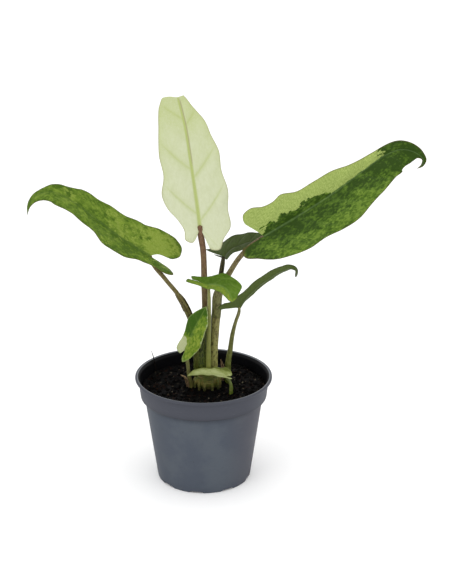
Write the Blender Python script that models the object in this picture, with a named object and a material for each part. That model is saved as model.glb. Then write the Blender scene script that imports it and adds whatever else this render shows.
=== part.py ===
"""Young variegated alocasia in a 12 cm nursery pot. Metres, +Z up, origin at the
middle of the pot's foot. The front of the plant looks towards -Y."""
import math

import bmesh
import bpy
import numpy as np
from mathutils import Matrix

MM = 0.001

# ---- nursery pot -------------------------------------------------------------
POT_HEIGHT = 95.0
RIM_RADIUS = 60.0
FOOT_RADIUS = 41.3
WALL = 1.2
POT_SIDES = 60
SHOULDER_Z = 76.0          # underside of the wide band below the rim
NOTCHES = 9                # drainage notches round the foot
NOTCH_WIDTH = 11.0
NOTCH_HEIGHT = 1.6
FIRST_NOTCH_DEG = -49.0    # from the front, towards +X
DRAIN_RING = 34.5
DRAIN_RADIUS = 3.0

# ---- soil and rootstock --------------------------------------------------------
GAP = 0.4                  # clearance kept between neighbouring solids
SOIL_Z = 84.0
CORM_CENTRE = (3.0, 2.0)
CORM_RADIUS = 11.0
CORM_LOW, CORM_TOP = 90.5, 97.0
PROP_ROOTS = 9

# ---- leaves --------------------------------------------------------------------
BLADE_THICK = 0.9

# Each leaf: spine = midrib from the stalk to the tip (x, y, z in mm);
# facing = where the upper face looks at the stalk; fold = how far each half
# lifts along the midrib (degrees); left and right = margin from the notch
# round the lobe to the tip, as (distance along, distance across) in mm;
# lobes = directions of the two basal lobes, where they leave the blade's line.
LEAVES = {
    "centre": dict(
        spine=[(-2.5, 8, 228), (-6, 14, 254), (-10.5, 20, 284), (-15, 27, 311),
               (-21, 36, 332), (-26, 45, 336), (-29, 53, 327), (-30, 57, 312)],
        facing=(0.1, -0.95, 0.25), fold=(12, 8, 5), rows=20, cols=5,
        left=[(-1, -2), (-8, -4), (-12, -8), (-9, -14), (-1, -14), (8, -18), (20, -26),
              (31, -29), (48, -25), (68, -26), (88, -23), (102, -20), (114, -17),
              (130, -11), (143, -4)],
        right=[(-1, 2), (-10, 4), (-20, 7), (-21, 14), (-12, 19), (-3, 26), (12, 26),
               (27, 28), (45, 25), (62, 25), (80, 19), (97, 12), (111, 5), (124, 5),
               (140, 3)],
        stalk=[(-2.5, 10, 225.5, 1.2), (0, 9.5, 207.5, 1.5), (1, 7.5, 176, 2.1),
               (1.5, 6.8, 158, 2.3), (1.2, 6.3, 135, 2.7), (0.8, 6, 116, 3.0),
               (0.8, 6, 97.5, 3.2)]),
    "left": dict(
        spine=[(-45, 0, 205), (-62, -3, 217), (-88, -5, 238), (-107, -6, 254),
               (-126, -8, 264), (-138, -10, 261), (-144, -12, 253), (-145.5, -14, 246)],
        facing=(0.35, -0.6, 0.7), fold=(20, 15, 10), rows=20, cols=5,
        left=[(-1, -2), (-10, -1), (-20, -1), (-25, -5), (-16, -9), (-4, -8), (10, -12),
              (23, -19), (38, -20), (58, -14), (78, -13), (95, -13), (110, -8),
              (122, -3)],
        right=[(-1, 2), (-8, 6), (-19, 8), (-24, 14), (-20, 21), (-11, 26), (4, 25),
               (22, 22), (42, 19), (62, 17), (82, 13), (96, 8), (110, 4), (122, 2)],
        stalk=[(-45.5, 2, 202, 1.3), (-32.5, 1, 184, 1.6), (-20.5, 1, 168, 1.7),
               (-16.5, 1, 161, 2.7), (-11.5, 1, 149.5, 2.9), (-7.5, 0.6, 135, 3.0),
               (-5.6, 0.5, 118, 3.1), (-5.2, 0.5, 97.4, 3.2)]),
    "right": dict(
        spine=[(51.5, 2, 222), (79, 0, 240), (108, -2, 260.5), (134, -3.5, 282),
               (152, -5, 297), (166, -6, 303), (176, -7, 301), (182.5, -8, 295),
               (182, -9, 289), (177, -10, 284)],
        facing=(-0.2, -0.95, 0.1), fold=(30, 25, 15), rows=22, cols=5,
        left=[(0, -3), (-2, -12), (-6, -20), (-3, -29), (6, -31), (15, -26), (24, -25),
              (33, -27), (46, -21), (62, -20), (80, -18), (94, -13), (112, -10),
              (132, -6), (150, -4), (165, -2)],
        right=[(-1, 2), (-12, 0), (-22, 1), (-23, 7), (-12, 16), (0, 24), (12, 28),
               (30, 31), (46, 30), (62, 32), (76, 32), (94, 27), (110, 24), (128, 19),
               (148, 12), (164, 5)],
        stalk=[(50, 4.5, 219.5, 1.4), (42, 5, 213.5, 1.5), (32, 5, 204, 1.6),
               (21.5, 5.5, 186, 2.0), (15.5, 5.5, 176, 2.6), (12.2, 5.5, 167, 3.5),
               (11.5, 5, 156, 3.7), (10.2, 4.5, 137.5, 3.5), (8.8, 4, 119, 3.4),
               (8.2, 4, 97.6, 3.5)]),
    "front": dict(
        spine=[(5, -10, 183), (10, -13, 184), (15, -16, 184), (20, -19, 182),
               (23, -21.5, 178), (25, -23, 172)],
        facing=(0.1, -0.6, 0.8), fold=(5, 5), rows=10, cols=3,
        lobes=((-0.95, 0, 0.3), (-0.95, 0, 0.3)),
        left=[(-1, -1), (-9, -1), (-16, -2), (-16, -5), (-8, -5), (-1, -8), (5, -11),
              (10, -12), (15, -11), (20, -11), (25, -7), (29, -3)],
        right=[(-1, 1), (-9, 1), (-18, 0), (-18, 3), (-9, 4), (0, 5), (8, 6), (16, 6),
               (23, 5), (29, 2)],
        stalk=[(5, -8.8, 180.5, 1.0), (5.2, -7.5, 168, 1.4), (5, -5.4, 144, 1.6),
               (4.4, -4.8, 120.5, 1.8), (4.4, -4.8, 97.4, 1.9)]),
    "low": dict(
        spine=[(-15.5, -10, 123), (-12, -9.5, 131), (-8, -9, 141), (-2.5, -9, 152),
               (3, -9.8, 163)],
        facing=(-0.2, -0.85, 0.4), fold=(5, 5), rows=10, cols=3,
        left=[(-1, -1), (-5, -3), (-3, -7), (3, -8), (9, -7), (14, -7), (20, -8),
              (27, -9), (33, -7), (40, -3)],
        right=[(-1, 1), (-7, 0), (-11, 2), (-7, 6), (0, 9), (7, 11), (14, 11), (22, 10),
               (30, 9), (38, 5)],
        stalk=[(-15, -7.8, 121, 1.2), (-14, -6.5, 112, 1.4), (-13, -4.5, 100, 1.6),
               (-12, -3, 91, 1.9), (-11.5, -2, 85, 2.5)]),
    "cream": dict(
        spine=[(19.5, -14, 99.5), (11, -14, 101.5), (1.5, -14, 102.2),
               (-6.5, -14, 101.8), (-14, -14, 100)],
        facing=(0, -0.1, 1), fold=(25, 20), rows=9, cols=3,
        left=[(-1, -1), (-5, -3), (-4, -8), (1, -10), (8, -9), (15, -6), (22, -6),
              (29, -3)],
        right=[(-1, 1), (-5, 3), (-3, 8), (1, 10), (5, 9), (10, 8), (15, 6), (20, 7),
               (26, 6), (31, 3)],
        stalk=[(20.8, -14.6, 97.4, 0.9), (22.6, -15.2, 95, 1.2), (24, -16, 90.5, 1.5),
               (24, -16.5, 85.2, 1.6)]),
    "side": dict(
        spine=[(31, 6, 156), (34.3, 5.5, 162), (39.4, 5, 168.5), (45.3, 4, 175),
               (53, 2, 182.3), (61.2, 0, 188.8), (68.7, -2, 193.5), (74.4, -4, 196),
               (78.5, -6, 195), (78.7, -8, 188.7)],
        facing=(-0.6, 0.55, 0.6), fold=(10, 5), rows=14, cols=3,
        lobes=((-1, 0.3, -0.26), (-1, -0.3, 0.5)),
        left=[(-1, -1), (-7, -2), (-14, -5), (-11, -9), (-2, -12), (10, -12), (30, -11),
              (50, -9), (65, -6), (75, -2)],
        right=[(-1, 1), (-7, 2), (-14, 5), (-11, 9), (-2, 12), (10, 12), (30, 11),
               (50, 9), (65, 6), (75, 2)],
        stalk=[(31, 5, 153.6, 1.2), (28.2, 6.5, 143, 1.5), (25.2, 8, 129.5, 1.8),
               (23.5, 9, 116.5, 2.1), (21.5, 9, 103, 2.4), (21, 9, 85.4, 2.6)]),
    "rear": dict(
        spine=[(17.5, 14, 199.7), (20.5, 16, 203.5), (25.5, 19, 206.5), (32, 22, 208.2),
               (41, 27, 209.5), (51, 32, 210.5), (60, 37, 210)],
        facing=(-0.4, 0.6, 0.65), fold=(5, 5), rows=12, cols=3,
        lobes=((-1, 0.3, 0.2), (-1, -0.2, 0.33)),
        left=[(-1, -1), (-9, -2), (-20, -5), (-16, -9), (-3, -11), (8, -11), (24, -10),
              (38, -6), (46, -2)],
        right=[(-1, 1), (-9, 2), (-15, 5), (-11, 9), (-3, 11), (8, 11), (24, 10),
               (38, 6), (46, 2)],
        stalk=[(17, 12.6, 197.4, 1.4), (15.5, 13.5, 185.5, 1.9), (13.2, 13.4, 169.5, 2.2),
               (9, 12.8, 142, 2.5), (5.5, 12.6, 113.5, 2.7), (4.4, 12.6, 97.6, 2.8)]),
}

# withered sheaths at the foot of the low and the side leaf: (x, y, z, half width)
SHEATHS = {
    "left": [(-15.2, -3.6, 87.5, 1.5), (-17.5, -5.5, 90.5, 1.8), (-20.5, -6.5, 92.5, 0.6)],
    "right": [(16.7, 7.5, 87, 1.5), (16.6, 6, 94, 1.6), (15.4, 5, 100.5, 0.6)],
}

COLOURS = {
    "pot": "#565963", "soil": "#151210", "corm": "#6f7040", "sheath": "#a8826a",
    "centre": "#cdd4ac", "left": "#688236", "right": "#5d7c38", "front": "#5f8a33",
    "low": "#5b7d2c", "cream": "#a9b97c", "side": "#5d6343", "rear": "#59613f",
    "stalk": "#77764c",
}


def linear(code):
    """sRGB hex code to linear red, green, blue, alpha."""
    parts = [int(code[i:i + 2], 16) / 255 for i in (1, 3, 5)]
    return tuple(c / 12.92 if c < 0.04045 else ((c + 0.055) / 1.055) ** 2.4 for c in parts) + (1,)


def material(name, code, rough):
    mat = bpy.data.materials.new(name)
    mat.use_nodes = True
    shader = mat.node_tree.nodes["Principled BSDF"]
    shader.inputs["Base Color"].default_value = linear(code)
    shader.inputs["Roughness"].default_value = rough
    shader.inputs["Metallic"].default_value = 0.0
    mat.diffuse_color = linear(code)
    return mat


def add_object(name, mesh, mat, smooth_deg=40):
    mesh.materials.append(mat)
    mesh.shade_smooth()
    mesh.set_sharp_from_angle(angle=math.radians(smooth_deg))
    obj = bpy.data.objects.new(name, mesh)
    bpy.context.collection.objects.link(obj)
    return obj


def mesh_from(name, verts, faces):
    mesh = bpy.data.meshes.new(name)
    mesh.from_pydata([tuple(v) for v in verts], [], faces)
    mesh.validate()
    mesh.update()
    return mesh


def smooth_path(points, count):
    """Even samples of the Hermite curve through the points."""
    p = np.asarray(points, float)
    d = np.r_[0, np.cumsum(np.linalg.norm(np.diff(p, axis=0), axis=1))]
    slope = np.gradient(p, d, axis=0)
    x = np.linspace(0, d[-1], count)
    k = np.clip(np.searchsorted(d, x, side="right") - 1, 0, len(d) - 2)
    h = (d[k + 1] - d[k])[:, None]
    t = (x - d[k])[:, None] / h
    return ((2 * t ** 3 - 3 * t ** 2 + 1) * p[k] + (t ** 3 - 2 * t ** 2 + t) * h * slope[k]
            + (3 * t ** 2 - 2 * t ** 3) * p[k + 1] + (t ** 3 - t ** 2) * h * slope[k + 1])


class Midrib:
    """The leaf's spine with its along, up and across directions."""

    def __init__(self, spine, facing, fold):
        dense = smooth_path(spine, 700)
        run = np.r_[0, np.cumsum(np.linalg.norm(np.diff(dense, axis=0), axis=1))]
        self.length = run[-1]
        self.s = np.linspace(0, self.length, 240)
        self.p = np.stack([np.interp(self.s, run, dense[:, k]) for k in range(3)], 1)
        along = np.gradient(self.p, self.s, axis=0)
        self.along = along / np.linalg.norm(along, axis=1)[:, None]
        up, rows = np.asarray(facing, float), []
        for a in self.along:              # carried along the spine without turning
            up = up - (up @ a) * a
            up = up / np.linalg.norm(up)
            rows.append(up)
        self.up = np.array(rows)
        self.across = np.cross(self.along, self.up)
        self.fold = fold

    def surface(self, s, t, lobe=None):
        """Leaf-plane point (s along, t across) to space; lobes run back from s = 0."""
        at = min(max(s, 0.0), self.length)
        pick = [np.array([np.interp(at, self.s, line[:, k]) for k in range(3)])
                for line in (self.p, self.along, self.up, self.across)]
        point, along, up, across = pick
        back = -along if lobe is None else np.asarray(lobe, float) / np.linalg.norm(lobe)
        f = math.radians(np.interp(at / self.length, np.linspace(0, 1, len(self.fold)),
                                   self.fold))
        return (point + back * max(-s, 0.0) + across * t * math.cos(f)
                + up * abs(t) * math.sin(f))


def margin_rows(margin, length, fan, rows):
    """Margin points for the fan of rows round the lobe, then for rows up the midrib.

    A row's foot on the midrib lies half its width below its margin point, so the
    rows sweep forward as the side veins do."""
    line = smooth_path(margin + [(length, 0)], 400)
    foot = line[:, 0] - 0.5 * np.abs(line[:, 1])
    turn = int(np.nonzero(foot <= 0)[0][-1])
    # seen from the stalk the margin never turns back, so the rows of a fan can't cross
    sign = 1.0 if line[turn, 1] > 0 else -1.0
    angle = np.arctan2(line[:turn + 1, 1] * sign, line[:turn + 1, 0])
    angle = np.maximum.accumulate(angle[::-1])[::-1] - 1e-6 * np.arange(turn + 1)
    reach = np.hypot(line[:turn + 1, 0], line[:turn + 1, 1])
    line[:turn + 1] = np.stack([reach * np.cos(angle), reach * np.sin(angle) * sign], 1)
    fan_at = np.interp(np.linspace(angle[0] - 0.01, angle[turn], fan, endpoint=False),
                       angle[::-1], np.arange(turn, -1, -1))
    climb = np.maximum.accumulate(np.r_[0, foot[turn + 1:]]) + 1e-6 * np.arange(400 - turn)
    feet = length * np.linspace(0, 1, rows + 1)
    index = np.r_[fan_at, np.interp(feet, climb, np.arange(turn, 400))]
    both = [np.interp(index, np.arange(400), line[:, k]) for k in (0, 1)]
    return np.stack(both, 1), np.r_[np.zeros(fan), feet]


def add_blade(name, leaf, mat):
    rib = Midrib(leaf["spine"], leaf["facing"], leaf["fold"])
    fan, rows, cols = 6, leaf["rows"], leaf["cols"]
    lobes = leaf.get("lobes", (None, None))
    verts = [rib.surface(s, 0) for s in rib.length * np.linspace(0, 1, rows + 1)]
    faces = []
    for side, key in enumerate(("left", "right")):
        edge, feet = margin_rows(leaf[key], rib.length, fan, rows)
        grid = []
        for r, ((s, t), foot) in enumerate(zip(edge, feet)):
            root = max(r - fan, 0)
            if r == len(edge) - 1:
                grid.append([root] * (cols + 1))
                continue
            line = [root]
            for j in range(1, cols + 1):
                v = j / cols
                line.append(len(verts))
                verts.append(rib.surface(foot + v * (s - foot), v * t, lobes[side]))
            grid.append(line)
        for a, b in zip(grid, grid[1:]):
            for j in range(cols):
                quad = [a[j], a[j + 1], b[j + 1], b[j]]
                ring = [v for i, v in enumerate(quad) if v not in quad[:i]]
                if len(ring) > 2:
                    faces.append(ring if side == 0 else ring[::-1])
    obj = add_object(name, mesh_from(name, np.array(verts) * MM, faces), mat, 60)
    solid = obj.modifiers.new("thickness", "SOLIDIFY")
    solid.thickness = BLADE_THICK * MM
    solid.offset = 0.0
    return obj


def tube_mesh(name, path, sides, samples, flat=1.0, facing=(0, -1, 0)):
    """Tapered tube through (x, y, z, radius) points, closed at both ends."""
    line = smooth_path(path, samples)
    centre, radius = line[:, :3], line[:, 3]
    along = np.gradient(centre, axis=0)
    along = along / np.linalg.norm(along, axis=1)[:, None]
    side = np.cross(along, np.asarray(facing, float))
    side = side / np.linalg.norm(side, axis=1)[:, None]
    other = np.cross(along, side)
    angle = np.linspace(0, 2 * math.pi, sides, endpoint=False)
    ring = (side[:, None] * np.cos(angle)[None, :, None]
            + other[:, None] * np.sin(angle)[None, :, None] * flat)
    verts = (centre[:, None] + ring * radius[:, None, None]).reshape(-1, 3)
    faces = [[i * sides + j, i * sides + (j + 1) % sides,
              (i + 1) * sides + (j + 1) % sides, (i + 1) * sides + j]
             for i in range(samples - 1) for j in range(sides)]
    faces.append(list(range(sides))[::-1])
    faces.append([(samples - 1) * sides + j for j in range(sides)])
    mesh = mesh_from(name, verts * MM, faces)
    face_out(mesh)
    return mesh


def face_out(mesh):
    bm = bmesh.new()
    bm.from_mesh(mesh)
    bmesh.ops.recalc_face_normals(bm, faces=bm.faces[:])
    bm.to_mesh(mesh)
    bm.free()


def turned(name, profile, sides, top=None):
    """Solid of revolution from (r, z) points; top(x, y) may raise the last rings."""
    verts, rings = [], []
    for r, z in profile:
        if r == 0:
            rings.append([len(verts)])
            verts.append((0, 0, z + (top(0, 0, z) if top else 0)))
            continue
        ring = []
        for k in range(sides):
            a = 2 * math.pi * k / sides
            x, y = r * math.cos(a), r * math.sin(a)
            ring.append(len(verts))
            verts.append((x, y, z + (top(x, y, z) if top else 0)))
        rings.append(ring)
    faces = []
    for a, b in zip(rings, rings[1:]):
        for k in range(sides):
            n = (k + 1) % sides
            quad = [a[k % len(a)], a[n % len(a)], b[n % len(b)], b[k % len(b)]]
            face = [v for i, v in enumerate(quad) if v not in quad[:i]]
            faces.append(face)
    mesh = mesh_from(name, np.array(verts) * MM, faces)
    face_out(mesh)
    return mesh


def cutter(name, mesh):
    obj = bpy.data.objects.new(name, mesh)
    bpy.context.collection.objects.link(obj)
    obj.hide_render = True
    obj.display_type = "WIRE"
    return obj


def boolean(target, other, operation):
    mod = target.modifiers.new(operation.lower(), "BOOLEAN")
    mod.object = other
    mod.operation = operation
    mod.solver = "EXACT"


def outer_radius(z):
    return FOOT_RADIUS + (52.0 - FOOT_RADIUS) * z / SHOULDER_Z


def add_pot(mat):
    inner_foot = outer_radius(4.2) - WALL
    profile = [
        (0, 0), (29.5, 0), (31, 1.6), (38, 1.6), (39, 0), (FOOT_RADIUS, 0),
        (52.0, SHOULDER_Z), (55.3, SHOULDER_Z), (57.2, 92.8), (RIM_RADIUS, 92.8),
        (RIM_RADIUS, POT_HEIGHT), (57.6, POT_HEIGHT), (55.9, 92.6), (54.2, 77.4),
        (50.9, 77.0), (inner_foot, 4.2), (39, 3.0), (30.4, 3.0), (28.8, 1.4), (0, 1.4)]
    pot = add_object("nursery_pot", turned("nursery_pot", profile, POT_SIDES), mat, 25)
    bm = bmesh.new()
    for k in range(NOTCHES):
        a = math.radians(FIRST_NOTCH_DEG + 360.0 / NOTCHES * k - 90)
        out = np.array([math.cos(a), math.sin(a)])
        side = np.array([-out[1], out[0]])
        low, high = -1.0, NOTCH_HEIGHT
        corners = []
        for z, half in ((low, NOTCH_WIDTH / 2 + 0.4), (high, NOTCH_WIDTH / 2 - 0.6)):
            for r, s in ((37.0, -1), (45.0, -1), (45.0, 1), (37.0, 1)):
                xy = out * r + side * s * half
                corners.append(bm.verts.new((xy[0] * MM, xy[1] * MM, z * MM)))
        for face in ((3, 2, 1, 0), (4, 5, 6, 7), (0, 1, 5, 4), (1, 2, 6, 5), (2, 3, 7, 6),
                     (3, 0, 4, 7)):
            bm.faces.new([corners[i] for i in face])
        hole = bmesh.ops.create_cone(bm, cap_ends=True, segments=12, radius1=DRAIN_RADIUS * MM,
                                     radius2=DRAIN_RADIUS * MM, depth=6 * MM)
        xy = out * DRAIN_RING
        bmesh.ops.translate(bm, verts=hole["verts"], vec=(xy[0] * MM, xy[1] * MM, 4.9 * MM))
    mesh = bpy.data.meshes.new("drain_cuts")
    bm.to_mesh(mesh)
    bm.free()
    face_out(mesh)
    boolean(pot, cutter("drain_cuts", mesh), "DIFFERENCE")
    return pot


def soil_height(x, y, z):
    """Low at the left front, higher at the back right, gently uneven."""
    if z < SOIL_Z - 3:
        return 0.0
    swell = 0.035 * x + 0.02 * y + 0.5 * math.sin(x / 9.0 + 1) * math.sin(y / 11.0 + 2)
    calm = min(1.0, max(0.0, (math.hypot(x - 3, y - 2) - 14) / 12))
    return calm * swell


def add_soil(mat):
    fit = WALL + GAP
    profile = [
        (0, 1.4 + GAP), (28.6, 1.4 + GAP), (30.2, 3.0 + GAP), (38.8, 3.0 + GAP),
        (outer_radius(4.6) - fit, 4.6), (outer_radius(40) - fit, 40),
        (50.3, 77.9), (53.7, 78.1), (54.3, SOIL_Z - 1), (50, SOIL_Z), (42, SOIL_Z),
        (33, SOIL_Z), (24, SOIL_Z), (15, SOIL_Z), (0, SOIL_Z)]
    return add_object("potting_soil", turned("potting_soil", profile, 40, soil_height), mat)


def add_rootstock(mat):
    """A squat corm that stands clear of the soil on finger-like prop roots."""
    cx, cy = CORM_CENTRE
    profile = [(0, CORM_LOW), (8.5, CORM_LOW), (CORM_RADIUS, CORM_LOW + 2),
               (CORM_RADIUS, CORM_TOP - 2), (CORM_RADIUS - 1, CORM_TOP), (0, CORM_TOP)]
    mesh = turned("rootstock", profile, 28)
    mesh.transform(Matrix.Translation((cx * MM, cy * MM, 0)))
    corm = add_object("rootstock", mesh, mat, 35)
    legs = bmesh.new()
    for k in range(PROP_ROOTS):
        a = 2 * math.pi * (k + 0.5) / PROP_ROOTS - math.pi / 2
        ox, oy = math.cos(a), math.sin(a)
        path = [(cx + ox * 8.2, cy + oy * 8.2, CORM_LOW + 3, 1.8),
                (cx + ox * 9.0, cy + oy * 9.0, CORM_LOW, 1.8),
                (cx + ox * 9.6, cy + oy * 9.6, SOIL_Z + GAP, 1.5)]
        leg = tube_mesh("prop_root", path, 8, 4, facing=(ox, oy, 0))
        legs.from_mesh(leg)
        bpy.data.meshes.remove(leg)
    mesh = bpy.data.meshes.new("prop_roots")
    legs.to_mesh(mesh)
    legs.free()
    boolean(corm, cutter("prop_roots", mesh), "UNION")
    return corm


def build():
    for obj in list(bpy.data.objects):
        bpy.data.objects.remove(obj, do_unlink=True)
    add_pot(material("blue_grey_pot_plastic", COLOURS["pot"], 0.42))
    add_soil(material("moist_peat", COLOURS["soil"], 0.9))
    add_rootstock(material("olive_corm", COLOURS["corm"], 0.6))
    stalk_mat = material("mottled_stalk", COLOURS["stalk"], 0.5)
    for name, leaf in LEAVES.items():
        add_blade(name + "_leaf_blade", leaf, material(name + "_blade", COLOURS[name], 0.45))
        tall = leaf["stalk"][0][2] - leaf["stalk"][-1][2]
        mesh = tube_mesh(name + "_leaf_stalk", leaf["stalk"], 10, 14 if tall > 40 else 8)
        add_object(name + "_leaf_stalk", mesh, stalk_mat)
    sheath_mat = material("dry_sheath", COLOURS["sheath"], 0.8)
    for name, path in SHEATHS.items():
        mesh = tube_mesh("dry_sheath_" + name, path, 8, 6, flat=0.35)
        add_object("dry_sheath_" + name, mesh, sheath_mat)


build()
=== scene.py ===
# A young variegated alocasia in its 12 cm nursery pot, on a pale studio floor.
# Lengths are in millimetres until a mesh is made; +Z is up and the front looks towards -Y.
import math

import bmesh
import bpy
import numpy as np
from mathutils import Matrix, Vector


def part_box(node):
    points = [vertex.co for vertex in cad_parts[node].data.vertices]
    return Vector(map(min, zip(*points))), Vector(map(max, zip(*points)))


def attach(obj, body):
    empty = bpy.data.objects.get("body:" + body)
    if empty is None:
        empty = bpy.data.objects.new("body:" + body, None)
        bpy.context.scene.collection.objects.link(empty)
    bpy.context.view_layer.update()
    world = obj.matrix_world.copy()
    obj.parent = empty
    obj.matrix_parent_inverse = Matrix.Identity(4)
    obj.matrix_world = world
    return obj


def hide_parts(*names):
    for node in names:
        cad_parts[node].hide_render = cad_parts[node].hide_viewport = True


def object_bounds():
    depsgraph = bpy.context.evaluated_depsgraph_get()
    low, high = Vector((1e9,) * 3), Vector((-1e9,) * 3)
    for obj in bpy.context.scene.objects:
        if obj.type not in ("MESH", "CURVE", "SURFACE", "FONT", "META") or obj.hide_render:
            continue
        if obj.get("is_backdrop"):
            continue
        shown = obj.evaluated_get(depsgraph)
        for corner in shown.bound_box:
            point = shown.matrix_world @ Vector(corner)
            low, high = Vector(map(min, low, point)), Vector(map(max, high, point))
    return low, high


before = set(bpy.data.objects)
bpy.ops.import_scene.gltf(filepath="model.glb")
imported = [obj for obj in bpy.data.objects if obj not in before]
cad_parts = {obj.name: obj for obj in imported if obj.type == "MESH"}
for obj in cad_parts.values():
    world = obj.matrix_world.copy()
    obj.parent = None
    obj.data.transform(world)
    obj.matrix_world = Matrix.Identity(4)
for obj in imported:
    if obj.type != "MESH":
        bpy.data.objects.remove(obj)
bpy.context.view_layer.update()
mm = 0.001
print("frame loaded:", len(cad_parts), "solids")


def hexLinear(code):
    # sRGB hex to linear: c / 12.92 below 0.04045, else ((c + 0.055) / 1.055) ^ 2.4
    parts = [int(code[i:i + 2], 16) / 255 for i in (1, 3, 5)]
    return tuple(c / 12.92 if c < 0.04045 else ((c + 0.055) / 1.055) ** 2.4
                 for c in parts) + (1.0,)


def boxMm(node):
    # a solid's lowest and highest corner in millimetres
    low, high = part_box(node)
    return np.array(low) / mm, np.array(high) / mm


def unit(vectors):
    return vectors / np.linalg.norm(vectors, axis=-1)[..., None]


def runOf(line):
    # the length walked along a line of points, from 0
    return np.r_[0, np.cumsum(np.linalg.norm(np.diff(line, axis=0), axis=1))]


def lineAt(at, run, line):
    # the line's points at given places of its run
    return np.stack([np.interp(at, run, line[:, k]) for k in range(3)], -1)


def circle(count):
    return np.linspace(0, 2 * np.pi, count, endpoint=False)


def roundPoints(r, a, z, cx=0.0, cy=0.0):
    # radius r and height z at angle a round the upright axis through (cx, cy)
    return np.stack([cx + r * np.cos(a), cy + r * np.sin(a), z + 0 * (r * a)], -1)


def smoothPath(points, count):
    # cubic Hermite curve through the points, slopes from their neighbours,
    # read at even steps of the summed straight distances
    p = np.asarray(points, float)
    d = runOf(p)
    slope = np.gradient(p, d, axis=0)
    x = np.linspace(0, d[-1], count)
    k = np.clip(np.searchsorted(d, x, side="right") - 1, 0, len(d) - 2)
    h = (d[k + 1] - d[k])[:, None]
    t = (x - d[k])[:, None] / h
    return ((2 * t ** 3 - 3 * t ** 2 + 1) * p[k] + (t ** 3 - 2 * t ** 2 + t) * h * slope[k]
            + (3 * t ** 2 - 2 * t ** 3) * p[k + 1] + (t ** 3 - t ** 2) * h * slope[k + 1])


def softNoise(x, y, size, seed, octaves=3):
    # random heights on a square lattice of that size, joined by 3f^2 - 2f^3 both ways;
    # each octave halves the lattice and the height
    total = np.zeros(np.broadcast(x, y).shape)
    for k in range(octaves):
        table = np.random.default_rng(seed + 17 * k).uniform(-1, 1, (256, 256))
        gx, gy = x * 2 ** k / size + 91.37, y * 2 ** k / size + 83.91
        ix, iy = np.floor(gx).astype(int), np.floor(gy).astype(int)
        fx, fy = gx - ix, gy - iy
        fx, fy = fx * fx * (3 - 2 * fx), fy * fy * (3 - 2 * fy)
        a, b = table[ix % 256, iy % 256], table[(ix + 1) % 256, iy % 256]
        c, d = table[ix % 256, (iy + 1) % 256], table[(ix + 1) % 256, (iy + 1) % 256]
        total += 0.5 ** k * ((a + (b - a) * fx) * (1 - fy) + (c + (d - c) * fx) * fy)
    return total


def easeStep(x, low, high):
    # 0 below low, 1 above high, 3f^2 - 2f^3 between
    f = np.clip((x - low) / (high - low), 0, 1)
    return f * f * (3 - 2 * f)


def gridFaces(rows, cols, wrap=False, first=0):
    # quads between neighbouring rows and columns of a grid stored row by row
    j = np.arange(cols if wrap else cols - 1)
    i = np.arange(rows - 1)[:, None]
    a, b = i * cols + j, i * cols + (j + 1) % cols
    return np.stack([a, b, b + cols, a + cols], -1).reshape(-1, 4) + first


def sheetFaces(rows, cols):
    # each row is one closed ring over a sheet's two sides; both open ends are shut
    j = np.arange(cols // 2 - 1)
    mouth = np.stack([j, cols - 1 - j, cols - 2 - j, j + 1], -1)
    return np.concatenate([gridFaces(rows, cols, wrap=True), mouth,
                           mouth[:, ::-1] + (rows - 1) * cols])


def linkNew(name, data):
    thing = bpy.data.objects.new(name, data)
    bpy.context.scene.collection.objects.link(thing)
    return thing


def placePiece(name, mesh, skin, node=None):
    mesh.materials.append(skin)
    piece = linkNew(name, mesh)
    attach(piece, "root")
    if node:
        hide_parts(node)
    return piece


def putMesh(name, verts, faces, skin, node=None, marks=None, weld=0.02, sharp=None):
    # one mesh object at the origin, doubles welded, faces turned outwards
    mesh = bpy.data.meshes.new(name)
    mesh.from_pydata((np.asarray(verts) * mm).tolist(), [], np.asarray(faces).tolist())
    for key, values in (marks or {}).items():
        kind = "FLOAT_COLOR" if values.shape[1] == 4 else "FLOAT_VECTOR"
        layer = mesh.attributes.new(key, kind, "POINT")
        field = "color" if kind == "FLOAT_COLOR" else "vector"
        layer.data.foreach_set(field, np.ascontiguousarray(values, float).ravel())
    work = bmesh.new()
    work.from_mesh(mesh)
    bmesh.ops.remove_doubles(work, verts=work.verts[:], dist=weld * mm)
    bmesh.ops.dissolve_degenerate(work, edges=work.edges[:], dist=1e-7)
    bmesh.ops.recalc_face_normals(work, faces=work.faces[:])
    work.to_mesh(mesh)
    work.free()
    mesh.shade_smooth()
    if sharp:
        mesh.set_sharp_from_angle(angle=math.radians(sharp))
    return placePiece(name, mesh, skin, node)


def addNode(tree, kind, settings=None, links=None):
    # one shader node: settings are its properties or the values of its sockets (by name
    # or number), links are the sockets that feed it
    node = tree.nodes.new(kind)
    for key, value in (settings or {}).items():
        if isinstance(key, int) or key in node.inputs:
            node.inputs[key].default_value = value
        else:
            setattr(node, key, value)
    for key, source in (links or {}).items():
        tree.links.new(source, node.inputs[key])
    return node


def newSkin(name, roughness, ior, specular):
    skin = bpy.data.materials.new(name)
    skin.use_nodes = True
    tree = skin.node_tree
    shader = tree.nodes["Principled BSDF"]
    shader.inputs["Roughness"].default_value = roughness
    shader.inputs["IOR"].default_value = ior
    shader.inputs["Metallic"].default_value = 0.0
    shader.inputs["Specular IOR Level"].default_value = specular
    return skin, tree, shader


def blendColour(tree, share, first, second, mode="MIX"):
    # colour mix; each of the three may be a socket, a number or a hex code
    node = tree.nodes.new("ShaderNodeMix")
    node.data_type = "RGBA"
    node.blend_type = mode
    for key, value in ((0, share), (6, first), (7, second)):
        if isinstance(value, str):
            node.inputs[key].default_value = hexLinear(value)
        elif isinstance(value, (int, float)):
            node.inputs[key].default_value = value
        else:
            tree.links.new(value, node.inputs[key])
    return node.outputs[2]


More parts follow.
